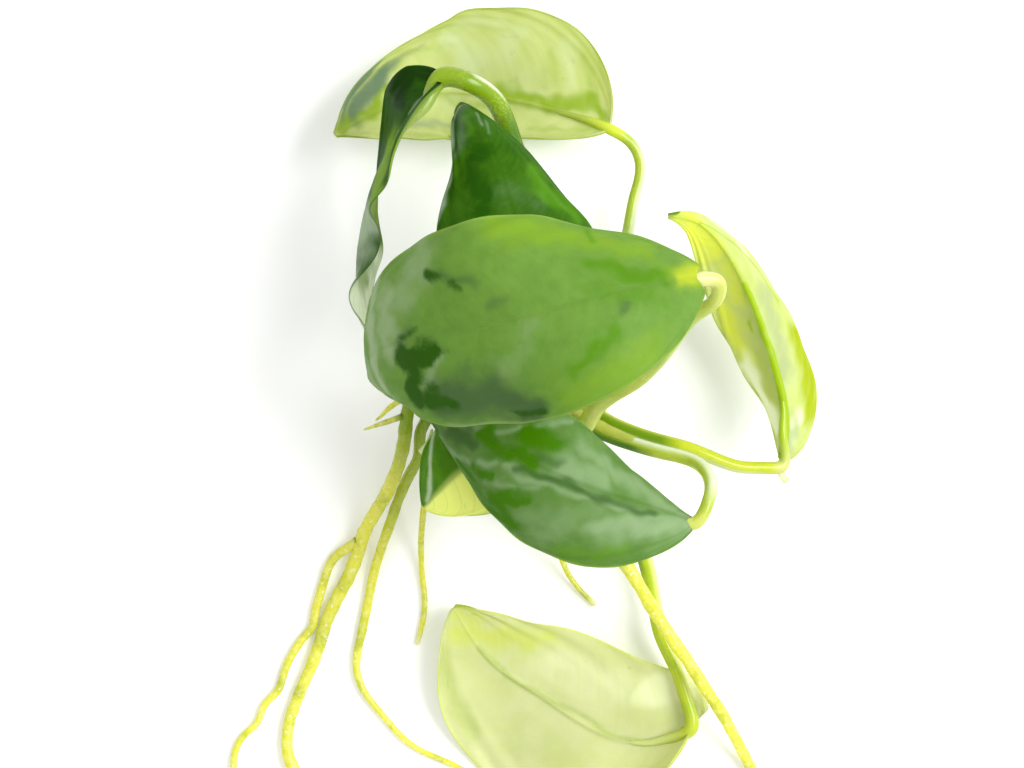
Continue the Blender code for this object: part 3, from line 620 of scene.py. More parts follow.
def rhizome_finish():
    """Rhizome bark: a dull olive skin that browns in the leaf scars."""
    material, tree = new_material("rhizome_skin")
    place = add_node(tree, "ShaderNodeTexCoord", {}, "Object")
    scar = add_node(tree, "ShaderNodeAttribute", {}, "Fac", attribute_name="scar")
    cloud = {"Vector": place, "Scale": 1 / (1.5 * MM), "Detail": 4.0, "Distortion": 0.5}
    cloud = add_node(tree, NOISE, cloud)
    grain = add_node(tree, NOISE, {"Vector": place, "Scale": 1 / (0.25 * MM), "Detail": 3.0})
    cloudy = add_node(tree, STEP, {0: cloud, 1: 0.38, 2: 0.66}, **SOFT)
    scarred = add_node(tree, STEP, {0: scar, 1: 0.75, 2: 1.0, 4: 0.8}, **SOFT)
    colour = overlay(tree, "#4a5712", [(cloudy, "#6d7a2a"), (scarred, "#4b3a14")])
    relief = add_node(tree, MATH, {0: cloud, 1: 1.5, 2: grain}, operation="MULTIPLY_ADD")
    bump = {"Height": relief, "Strength": 0.8, "Distance": 0.15 * MM}
    normal = add_node(tree, "ShaderNodeBump", bump)
    skin = {"Base Color": colour, "Roughness": 0.5, "Normal": normal, "Coat Weight": 0.25}
    skin = add_node(tree, "ShaderNodeBsdfPrincipled", {**skin, "Coat Roughness": 0.25})
    add_node(tree, "ShaderNodeOutputMaterial", {"Surface": skin})
    return material


# Meshes


def ring_faces(rings, sides):
    """Faces of a closed tube: squares from each ring to the next, and a fan to a middle point at each end."""
    start, side = np.meshgrid(np.arange(rings - 1) * sides, np.arange(sides), indexing="ij")
    after = (side + 1) % sides
    squares = np.stack([start + side, start + after, start + sides + after, start + sides + side], -1)
    side, after = side[0], after[0]
    last = (rings - 1) * sides
    fans = [(after, side, np.full(sides, rings * sides))]
    fans.append((side + last, after + last, np.full(sides, rings * sides + 1)))
    return squares.reshape(-1, 4), np.concatenate([np.stack(fan, -1) for fan in fans])


def six_volumes(points, triangles):
    """Six times the volume that closed triangles hold, negative where they are inside out."""
    return np.linalg.det(points[triangles]).sum()


def link_object(name, data):
    made = bpy.data.objects.new(name, data)
    bpy.context.scene.collection.objects.link(made)
    return made


def put_mesh(name, points, squares, triangles, fields):
    """A mesh piece from arrays of points, squares and triangles, with one number a point for each field."""
    halves = np.concatenate([triangles, squares[:, :3], squares[:, [0, 2, 3]]])
    if six_volumes(points - points.mean(0), halves) < 0:
        squares, triangles = squares[:, ::-1], triangles[:, ::-1]
    mesh = bpy.data.meshes.new(name)
    mesh.from_pydata(points.tolist(), [], squares.tolist() + triangles.tolist())
    for field, values in fields.items():
        mesh.attributes.new(field, "FLOAT", "POINT").data.foreach_set("value", values.astype(np.float32))
    mesh.shade_smooth()
    piece = link_object(name, mesh)
    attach(piece, "root")
    return piece


def put_tube(name, rings, fields, finish, extra=None):
    """A closed tube through rings of points, (rings, sides, 3), in its finish. fields give each point a
    number, and extra adds loose points, triangles and fields, such as hairs."""
    count, sides = rings.shape[:2]
    points = np.concatenate([rings.reshape(-1, 3), rings[[0, -1]].mean(1)])
    squares, triangles = ring_faces(count, sides)
    flat = {}
    for field, values in fields.items():
        values = np.broadcast_to(values, rings.shape[:2])
        flat[field] = np.concatenate([values.ravel(), values[[0, -1]].mean(1)])
    if extra:
        triangles = np.concatenate([triangles, extra["triangles"] + len(points)])
        points = np.concatenate([points, extra["points"]])
        flat = {field: np.concatenate([values, extra[field]]) for field, values in flat.items()}
    piece = put_mesh(name, points, squares, triangles, flat)
    piece.data.materials.append(finish)
    return piece


def along_route(points, ring_gap):
    """Rings of a tube, about a ring gap apart on the smooth route through the points. Gives the share of the
    route's length at its points, then each ring's share, its middle and its metres along the route."""
    places, length = lengths_along(points)
    at = np.linspace(0, 1, int(length / ring_gap))
    return places, at, smooth(places, points, at), at * length


def turns_round(sides):
    """The angle of each side round a tube."""
    return np.linspace(0, 2 * np.pi, sides, endpoint=False)


def carried_rings(path, radius):
    """Rings of points square to a path, carried along it without twist, and each point's way outwards. radius
    is a number for each ring and side."""
    forward = unit(np.gradient(path, axis=0))
    start = np.cross(forward[0], (0.0, 0.0, 1.0))
    if np.linalg.norm(start) < 0.2:
        start = np.cross(forward[0], (0.0, 1.0, 0.0))
    side = [unit(start)]
    for ahead in forward[1:]:
        side.append(unit(side[-1] - side[-1].dot(ahead) * ahead))
    side = np.array(side)
    up = np.cross(forward, side)
    turn = turns_round(radius.shape[1])
    outward = np.cos(turn)[None, :, None] * side[:, None] + np.sin(turn)[None, :, None] * up[:, None]
    return path[:, None] + outward * radius[..., None], outward


def waves(count, shortest, longest, *axes):
    """Soft random relief from -1 to 1: the sum of count cosine waves of random heading, each between the
    shortest and the longest length, over the given coordinates."""
    lengths = CHANCE.uniform(shortest, longest, count)
    headings = unit(CHANCE.normal(size=(count, len(axes))))
    starts = CHANCE.uniform(0, 2 * np.pi, count)
    total = 0.0
    for length, direction, start in zip(lengths, headings, starts):
        reach = sum(part * axis for part, axis in zip(direction, axes))
        total = total + np.cos(2 * np.pi * reach / length + start)
    return total / np.sqrt(2 * count)


def waves_round(count, shortest, longest, run, radius, sides):
    """The same relief over a tube of that radius, along its run and round it, so that it closes on itself."""
    turn = turns_round(sides)
    round_tube = (radius * np.cos(turn)[None], radius * np.sin(turn)[None])
    return waves(count, shortest, longest, run[:, None], *round_tube)


def blade_columns():
    """Places across a blade from -1 to 1, closer together at the midrib and at both margins."""
    step = np.linspace(-1, 1, BLADE_COLUMNS)
    out = np.abs(step)
    return np.sign(step) * (0.62 * out + 0.76 * out**2 - 0.38 * out**4)


def painted(strokes, length, along, across, half_width):
    """The strongest of a list of soft strokes at each point: strength * exp(-(distance/width)**2), with the
    distance in metres over the blade to the line through the stroke's places. Soft waves shift the points
    by up to a share of the width first, so that no stroke has an even border."""
    total = np.zeros_like(along)
    over = (along * length, across * half_width)
    drift_along, drift_across = (waves(8, 2.5 * MM, 9 * MM, *over) for _ in over)
    for width, strength, *places in strokes:
        drift = min(BORDER_DRIFT * width * MM, MOST_DRIFT)
        for (first_along, first_across), (last_along, last_across) in zip(places, places[1:]):
            reach = (along - first_along) * length + drift_along * drift
            aside = (across - first_across) * half_width + drift_across * drift
            run, lean = (last_along - first_along) * length, (last_across - first_across) * half_width
            share = np.clip((reach * run + aside * lean) / (run**2 + lean**2 + 1e-12), 0, 1)
            apart = (reach - share * run) ** 2 + (aside - share * lean) ** 2
            total = np.maximum(total, strength * np.exp(-apart / (width * MM) ** 2))
    return total


def around(upper_values, rim_values, lower_values):
    """Values round a blade: over the top from left to right, the right rim, back below, the left rim."""
    right_rim, left_rim = rim_values[:, -1:], rim_values[:, :1]
    return np.concatenate([upper_values, right_rim, lower_values[:, ::-1], left_rim], axis=1)


def add_blade(name, leaf, look, finish):
    """A leaf blade: two faces over the middle surface, wall thickness apart and drawn together at the margin.
    The midrib stands out underneath as a tapering ridge exp(-(distance/width)**2) and lies in a shallow
    groove above. The side veins lie where along - 0.08|across| - 0.14|across|**2.5 is a whole number of
    steps, as fine ridges underneath, with the blade swelling a little between them above."""
    straight = np.linspace(0, 1, BLADE_ROWS)
    rows = 0.45 * straight + 0.55 * (1 - np.cos(np.pi * straight)) / 2
    along, across = np.meshgrid(rows, blade_columns(), indexing="ij")
    middle, half_width = blade_middle(leaf, along, across)
    _, length = lengths_along(np.array(leaf["midrib"]))
    out = np.abs(across)
    off_midrib = out * half_width
    upward = unit(np.cross(np.gradient(middle, axis=1), np.gradient(middle, axis=0)))

    # lateral counts the side veins, which fade out at the margin and near the midrib
    lateral = look["veins"] * (along - 0.08 * out - 0.14 * out**2.5) + np.where(across < 0, 0.0, VEIN_LEAD)
    to_vein = np.abs(lateral - np.round(lateral))
    inner = np.clip(1 - out**3, 0, 1) * np.clip(off_midrib / VEINS_CLEAR_OF_MIDRIB, 0, 1)
    vein = np.exp(-((to_vein / VEIN_WIDTH) ** 2)) * inner
    swell = np.cos(2 * np.pi * lateral) * inner
    ridge_width = (0.55 - 0.35 * along) * MM
    ridge = np.exp(-((off_midrib / ridge_width) ** 2))
    taper = (1 - along) ** 0.8

    # Long soft waves, flat at the midrib and at both ends, and a ripple that only the margin has
    relief = look["wave"] * MM * waves(7, 6 * MM, 20 * MM, along * length, across * half_width)
    relief = relief * np.minimum(1, off_midrib / (3 * MM))
    relief = relief * np.minimum(1, (1 - along) * 6) * np.minimum(1, along * 6)
    relief += look["frill"] * MM * out**4 * waves(4, 7 * MM, 16 * MM, along * length + across * 0.05)
    # Half the wall, thinner at the margin, then each face with the heights of its veins in millimetres
    wall = look["wall"] * MM * (0.35 + 0.65 * np.sqrt(np.clip(1 - out**8, 0, 1))) / 2
    above = wall + (-0.03 * vein - 0.025 * swell) * look["quilt"] * MM - GROOVE_DEPTH * taper * ridge
    below = wall + (0.05 * vein - 0.02 * swell) * look["quilt"] * MM + look["ridge"] * MM * taper * ridge
    middle = middle + relief[..., None] * upward
    outward = unit(np.gradient(middle, axis=1)) * np.sign(across)[..., None]
    rim = middle + outward * wall[..., None] * 0.8
    rings = around(middle + above[..., None] * upward, rim, middle - below[..., None] * upward)

    marks = MARKS.get(name.removesuffix("_blade"), {})
    paints = {paint: painted(marks.get(paint, ()), length, along, across, half_width) for paint in PAINTS}
    # Painted light: one half is pale with light shining through it, while the other lies in shade
    if "painted_lit_side" in look:  # one half of the blade is pale, up to the midrib
        paints["pale"] = np.clip(0.5 + 4 * across * look["painted_lit_side"], 0, 1)
    fields = {**paints, "across": across, "lateral": lateral, "off_midrib": off_midrib}
    fields = {field: around(values, values, values) for field, values in fields.items()}
    fields["face"] = around(np.ones_like(along), np.full_like(along, 0.5), np.zeros_like(along))
    return put_tube(name, rings, fields, finish)


def spring_from_rhizome(station, clock):
    """First points of a stem on the rhizome: one inside it, then the two from which the solid stem starts.
    clock is the angle round the rhizome, 0 at the top."""
    places, _ = lengths_along(RHIZOME_ROUTE)
    middle = smooth(places, RHIZOME_ROUTE, station)
    forward = heading(places, RHIZOME_ROUTE, station)
    up = unit(np.array([0.0, 0.0, 1.0]) - forward * forward[2])
    side = np.cross(up, forward)
    outward = np.cos(np.radians(clock)) * up + np.sin(np.radians(clock)) * side
    radius = linearly(RHIZOME_RADII, station)
    start = middle + outward * (radius + PIECE_GAP)
    return [middle + outward * radius * 0.35, start, start + outward * SPRING_RUN]


def run_under_blade(leaf, radius):
    """Last points of a stalk: where the solid one ends, then on just under the start of the midrib, closer to
    it as the stalk thins."""
    midrib = np.array(leaf["midrib"])
    places, length = lengths_along(midrib)
    short, under = leaf["stalk_end"]
    reach = np.array([0.0, 3.0, 7.0, 11.0]) * MM
    shares = reach / length
    forward = heading(places, midrib, shares)
    face = square_to(forward, evenly(leaf["face"], shares))
    depth = radius * (1 - reach / reach[-1]) ** 0.75 + 0.12 * MM
    depth[0] = under
    points = smooth(places, midrib, shares) - face * depth[:, None]
    points[0] -= forward[0] * short
    return list(points)


def add_stalk(name, leaf, look, finish):
    """A stalk: rings along the smooth route, widening to a sheathing foot in the rhizome and swelling a
    little at the joint with the blade, where it runs on into the midrib. Its radius is multiplied by 1 +
    foot + joint, both a bell exp(-(distance/reach)**2), by the end's taper, and by 1 + soft lumps + three
    flutes."""
    radii = leaf["radii"]
    points = np.array(spring_from_rhizome(*leaf["spring"]) + leaf["stalk"] + run_under_blade(leaf, radii[-1]))
    places, at, path, run = along_route(points, STALK_RING_GAP)
    joint_place = places[-4]
    foot = 0.45 * np.exp(-((run / (3.2 * MM)) ** 2))
    joint = look["joint_swell"] * np.exp(-(((at - joint_place) * run[-1] / (1.6 * MM)) ** 2))
    end = np.clip((1 - at) / (1 - joint_place), 0, 1) ** 0.75
    lumps = 0.03 * waves_round(5, 4 * MM, 14 * MM, run, 2 * MM, STALK_SIDES)
    turn = turns_round(STALK_SIDES)[None]
    radius = linearly(radii, at / joint_place) * (1 + foot + joint) * end + STALK_END_RADIUS
    rings, outward = carried_rings(path, radius[:, None] * (1 + lumps + 0.02 * np.cos(3 * turn)))
    along = at[:, None] / joint_place

    def facing(mark):
        """Share of a stripe or a painted highlight: how squarely a point faces its way, from its edge on, in
        its span.
        """
        way, edge, (first, last) = (look[f"{mark}_{part}"] for part in ("way", "edge", "span"))
        share = np.clip(1.3 * (outward @ unit(np.array(way)) - edge) / (1 - edge), 0, 1)
        return share * np.clip((along - first) * 12, 0, 1) * np.clip((last - along) * 12, 0, 1) * (1 + lumps)

    fields = {"along": along, "stripe": facing("stripe"), "painted_highlight": facing("painted_highlight") * 0.9}
    fields |= {"ring_x": np.cos(turn), "ring_y": np.sin(turn)}
    return put_tube(name, rings, fields, finish)


def root_hairs(path, radius, at, crown, count, hair_length):
    """Short root hairs as slim three-sided spikes. Each stands on a random place of the root, leaning a
    little at random, and its points are base + outward * length."""
    pick = CHANCE.integers(2, len(path) - 2, count)
    CHANCE.uniform(size=count)  # a spare draw, which keeps every later one as it is
    forward = unit(np.gradient(path, axis=0))[pick]
    side = unit(np.cross(forward, CHANCE.normal(size=(count, 3))))
    outward = unit(side + CHANCE.normal(0, 0.35, (count, 3)))
    base = path[pick] + side * (radius[pick] * 0.97)[:, None]
    tip = base + outward * (hair_length * CHANCE.uniform(0.45, 1.0, count))[:, None]
    first = unit(np.cross(outward, forward))
    second = np.cross(outward, first)
    corners = [base + HAIR_RADIUS * (np.cos(turn) * first + np.sin(turn) * second) for turn in turns_round(3)]
    start = np.arange(count)[:, None] * 4
    return {
        "points": np.stack([*corners, tip], 1).reshape(-1, 3),
        "triangles": np.concatenate([start + face for face in ([0, 1, 3], [1, 2, 3], [2, 0, 3], [2, 1, 0])]),
        "along": np.repeat(at[pick], 4),
        "crown": np.repeat(crown[pick], 4),
    }


def add_root(name, root, look, finish):
    """A root: rings along the smooth route, its radius lumpy with soft random waves, a rounded tip, and a
    velvet of short hairs that reaches as far as the solid does."""
    route = np.array(root["route"])
    if "spring" in root:
        start = spring_from_rhizome(*root["spring"])
    else:
        start = [route[0] + unit(route[0] - route[1]) * root.get("inside", ROOT_START_INSIDE)]
    _, at, path, run = along_route(np.concatenate([start, route]), ROOT_RING_GAP)
    radius = linearly(root["radii"], at) * look["core"]
    to_tip = np.clip((1 - at) * run[-1] / (1.3 * radius[-1]), 0, 1)
    radius = radius * np.sqrt(np.clip(1 - (1 - to_tip) ** 2, 0.01, 1))
    lumps = 0.09 * waves_round(9, 1.2 * MM, 6 * MM, run, MM, ROOT_SIDES)
    rings, _ = carried_rings(path, radius[:, None] * (1 + lumps))
    crown = np.clip(1 - at / root.get("crown", ROOT_CROWN), 0, 1)
    hair_count = int(look["hairs"] * run[-1] / MM)
    hairs = root_hairs(path, radius, at, crown, hair_count, look["hair_length"] * MM)
    rings[..., 2] = np.maximum(rings[..., 2], 0.03 * MM)
    hairs["points"][:, 2] = np.maximum(hairs["points"][:, 2], 0.02 * MM)
    return put_tube(name, rings, {"along": at[:, None], "crown": crown[:, None]}, finish, hairs)


def add_sheath(name, sheath, finish):
    """A thin sheath or thread along its route: a narrow blade whose halves bend down by the same angle."""
    half, bend = sheath["half"], sheath["bend"]
    leaf = dict(
        midrib=sheath["route"], face=[sheath["face"], sheath["face"]], half_widths=(half, half),
        outline=((0.15, 0.15), (0.35, 0.35)), fold=[(0, 0), (0, 0)], cup=[(bend, bend), (bend, bend)],
        lobes=(0.0, 0.0), heel=half * 0.7,
    )
    add_blade(name, leaf, SHEATH_LOOK, finish)


def add_rhizome(name, finish):
    """The rhizome: rings along its route, with a step outwards at each old leaf scar, a sawtooth of its
    length, and soft random lumps."""
    _, at, path, run = along_route(RHIZOME_ROUTE, RHIZOME_RING_GAP)
    step = run / SCAR_SPACING % 1
    lumps = 0.05 * waves_round(10, 1.5 * MM, 7 * MM, run, 3 * MM, RHIZOME_SIDES)
    ends = np.clip(np.minimum(run, (1 - at) * run[-1]) / (0.8 * MM), 0, 1)
    radius = linearly(RHIZOME_RADII, at) * (0.93 + 0.07 * step**3) * np.sqrt(1 - (1 - ends) ** 2 * 0.9)
    rings, _ = carried_rings(path, radius[:, None] * (1 + lumps))
    return put_tube(name, rings, {"scar": step[:, None]}, finish)


# Looks

# Each colour of a blade is (upper face, under face, light shining through). mottle, fibres, veins_show and
# rib_shows are the most that specks, fibres, veins and midrib cover, and vein_width is a share of a vein's
# step. share is the part of the light that goes through. veins is how many side veins there are. In
# millimetres: rib_width, wave and frill, the depths of the blade's waves and of the margin's ripple, wall,
# ridge, the height of the midrib, and quilt, which scales the relief of the side veins.
# In each look the grey sheen colours are painted sheen, shade is mostly painted shade, and dark is mostly
# painted deep green where the gloss shows no bright reflection
DARK_LOOK = dict(
    skin=("#688a48", "#8fae4e", "#86ae24"),
    cloud=("#5a8036", "#9cb85c", "#74a018"),
    speck=("#4d742c", "#7d9f3f", "#74a018"),
    fibre=("#5a8038", "#7d9f3f", "#74a018"),
    warm=("#7ea228", "#a8c03c", "#a4c424"),
    vivid=("#5f8e20", "#86ac28", "#6f9c18"),
    pale=("#839b70", "#b6c86a", "#c9dc3a"),
    painted_sheen=("#8ba678", "#a4b393", "#9ab26a"),
    vein=("#6c8f50", "#a0bc60", "#86a83a"),
    rib=("#4a7028", "#b4c878", "#86a83a"),
    shade=("#44682e", "#7a9a50", "#5a7a1c"),
    dark=("#447a00", "#5a8418", "#568800"),
    edge=("#8fae4a", "#8fae4a", "#9cb850"),
    mottle=0.45, fibres=0.30, veins_show=0.12, vein_width=0.10, rib_shows=0.35, rib_width=0.5,
    share=0.35, roughness=0.40, coat=0.02, specular=0.14, bump=0.35,
    veins=10, wave=0.12, frill=0.22, wall=0.30, quilt=0.7, ridge=0.70,
)
FRONT_LOOK = DARK_LOOK | dict(
    skin=("#6c9240", "#8fae4e", "#a2c424"),
    cloud=("#759a42", "#9cb85c", "#92b81c"),
    speck=("#5f8632", "#7d9f3f", "#92b81c"),
    vivid=("#568a06", "#86ac28", "#7aac06"),
    pale=("#c4ce34", "#cdd62e", "#d0da3c"),
    painted_sheen=("#a2b68e", "#b0bf94", "#b0c884"),
    vein=("#7c9f50", "#a0bc60", "#9cbc3a"),
    rib=("#6f9440", "#b4c878", "#9cbc3a"),
    shade=("#50703e", "#6f9048", "#5c7c28"),
    dark=("#306000", "#4a7414", "#3a6c00"),
    share=0.42, fibres=0.12, veins_show=0.06, rib_shows=0.15, roughness=0.48,
)
SMALL_LOOK = DARK_LOOK | dict(
    skin=("#588e0c", "#8fae4e", "#78a80c"),
    cloud=("#528608", "#9cb85c", "#5c9004"),
    speck=("#3f6e06", "#7d9f3f", "#5c9004"),
    fibre=("#4f8410", "#7d9f3f", "#6c9a10"),
    pale=("#ecf488", "#ecf488", "#f4f898"),
    painted_sheen=("#b4c8a0", "#b4c8a0", "#c4d0a0"),
    rib=("#7a9a3a", "#b4c878", "#86a83a"),
    # One half of this blade is painted pale, as light shining through it
    painted_lit_side=-1,
)
MIDDLE_LOOK = DARK_LOOK | dict(
    skin=("#306002", "#86a43c", "#447404"),
    cloud=("#3c6c08", "#90ae48", "#4c7e08"),
    speck=("#2a5600", "#749a30", "#3c6c02"),
    fibre=("#4a7a1c", "#749a30", "#4c7e10"),
    vivid=("#508614", "#86ac28", "#6c9c1c"),
    painted_sheen=("#9fb59a", "#a4b393", "#a8bc98"),
    vein=("#42741a", "#9cb85c", "#50821c"),
    rib=("#42741a", "#a8c064", "#50821c"),
    shade=("#36602a", "#6f9048", "#3c6018"),
    dark=("#245600", "#4f7c10", "#306400"),
    edge=("#5c8424", "#86a44a", "#6c9430"),
    fibres=0.30, rib_shows=0.12, coat=0.0, specular=0.10,
)
FOLDED_LOOK = DARK_LOOK | dict(
    skin=("#265204", "#84a038", "#3c6a04"),
    cloud=("#2e5c06", "#90ac44", "#447208"),
    speck=("#204800", "#749428", "#346002"),
    fibre=("#34620c", "#749428", "#3c6a04"),
    vivid=("#74981c", "#90b024", "#98bc1c"),
    pale=("#c4d0b0", "#dce4cc", "#ecf2de"),
    painted_sheen=("#a0b294", "#a8b89a", "#b4c4a4"),
    vein=("#34620c", "#9cb85c", "#4a7a14"),
    rib=("#34620c", "#a8bc64", "#4a7a14"),
    dark=("#163a00", "#34600a", "#1e4400"),
    edge=("#3f6414", "#587a24", "#5c8028"),
    rib_shows=0.15, coat=0.0, specular=0.12,
)
PALE_LOOK = dict(
    skin=("#9ab44c", "#dce2aa", "#e4e8a0"),
    cloud=("#a4be58", "#d2da96", "#dce48c"),
    speck=("#8ca83e", "#d6de9c", "#dce48c"),
    fibre=("#8ca83e", "#c4d07c", "#d0da70"),
    warm=("#a4be48", "#c8d66a", "#d4e060"),
    vivid=("#84a824", "#a2bc3c", "#b8ce48"),
    pale=("#b4c860", "#dde6c0", "#eaf0cc"),
    painted_sheen=("#a4b393", "#adb896", "#bcc8a2"),
    vein=("#b4c87a", "#c0ce70", "#cad66c"),
    rib=("#c0cc84", "#b4c654", "#c0d05c"),
    shade=("#6f8a4c", "#80987c", "#90a88c"),
    dark=("#4c6238", "#566c54", "#6c8468"),
    edge=("#a4bc4e", "#a8bc60", "#b8cc68"),
    mottle=0.30, fibres=0.14, veins_show=0.14, vein_width=0.26, rib_shows=0.45, rib_width=0.6,
    share=0.50, roughness=0.40, coat=0.04, specular=0.25, bump=0.35,
    veins=12, wave=0.12, frill=0.22, wall=0.30, quilt=0.7, ridge=0.75,
)
BOTTOM_LOOK = PALE_LOOK | dict(
    skin=("#b4c45c", "#dcdfb0", "#e8eab4"),
    cloud=("#bccb68", "#d4da9e", "#e0e4a4"),
    speck=("#a8ba50", "#d8dca8", "#e0e4a4"),
    fibre=("#a8ba50", "#d2d89a", "#dce09c"),
    warm=("#b4c45c", "#c2cc84", "#ccd48c"),
    vivid=("#b4c43c", "#d8e05c", "#e0e85c"),
    pale=("#c4d070", "#f0f4d0", "#f8f8dc"),
    vein=("#c4d080", "#dce49c", "#e0e890"),
    rib=("#c8d48c", "#d0da8c", "#d8e084"),
    shade=("#90a444", "#b4c668", "#bccc68"),
    dark=("#5c5018", "#5c5018", "#6c5c20"),
    edge=("#c0cc60", "#dce27c", "#e0e67c"),
    veins_show=0.12, rib_shows=0.25,
)
YOUNG_LOOK = PALE_LOOK | dict(
    skin=("#c0cc50", "#cfd898", "#d8e08c"),
    cloud=("#c8d25a", "#c6d17c", "#d0da70"),
    speck=("#b8c440", "#cad48c", "#d0da70"),
    warm=("#c8d25a", "#e6ec5c", "#f2f660"),
    fibre=("#b8c440", "#cad474", "#d4de5c"),
    vivid=("#b0c418", "#b0be10", "#bcca14"),
    pale=("#d4dc9c", "#f2f5e0", "#f8fbec"),
    painted_sheen=("#c8d474", "#b6c290", "#c2cc94"),
    vein=("#cad480", "#dde4a0", "#e0e890"),
    rib=("#b4c440", "#acc624", "#bcd430"),
    shade=("#98b80c", "#acc81c", "#bcd62c"),
    dark=("#6c9000", "#6c9000", "#80a408"),
    edge=("#b4c83c", "#bccc4c", "#c8d850"),
    veins_show=0.10, rib_shows=0.3, wall=0.26, ridge=0.65, wave=0.08,
)

# Each leaf's look, and a slot name for its blade, which nothing here uses
LOOKS = {
    "front_leaf": (FRONT_LOOK, "mid_green_leaf"),
    "lower_leaf": (DARK_LOOK, "dark_leaf"),
    "small_leaf": (SMALL_LOOK, "dark_leaf"),
    "middle_leaf": (MIDDLE_LOOK, "dark_leaf"),
    "folded_leaf": (FOLDED_LOOK, "dark_leaf"),
    "top_leaf": (PALE_LOOK, "pale_leaf"),
    "right_leaf": (YOUNG_LOOK, "young_leaf"),
    "bottom_leaf": (BOTTOM_LOOK, "pale_leaf"),
}

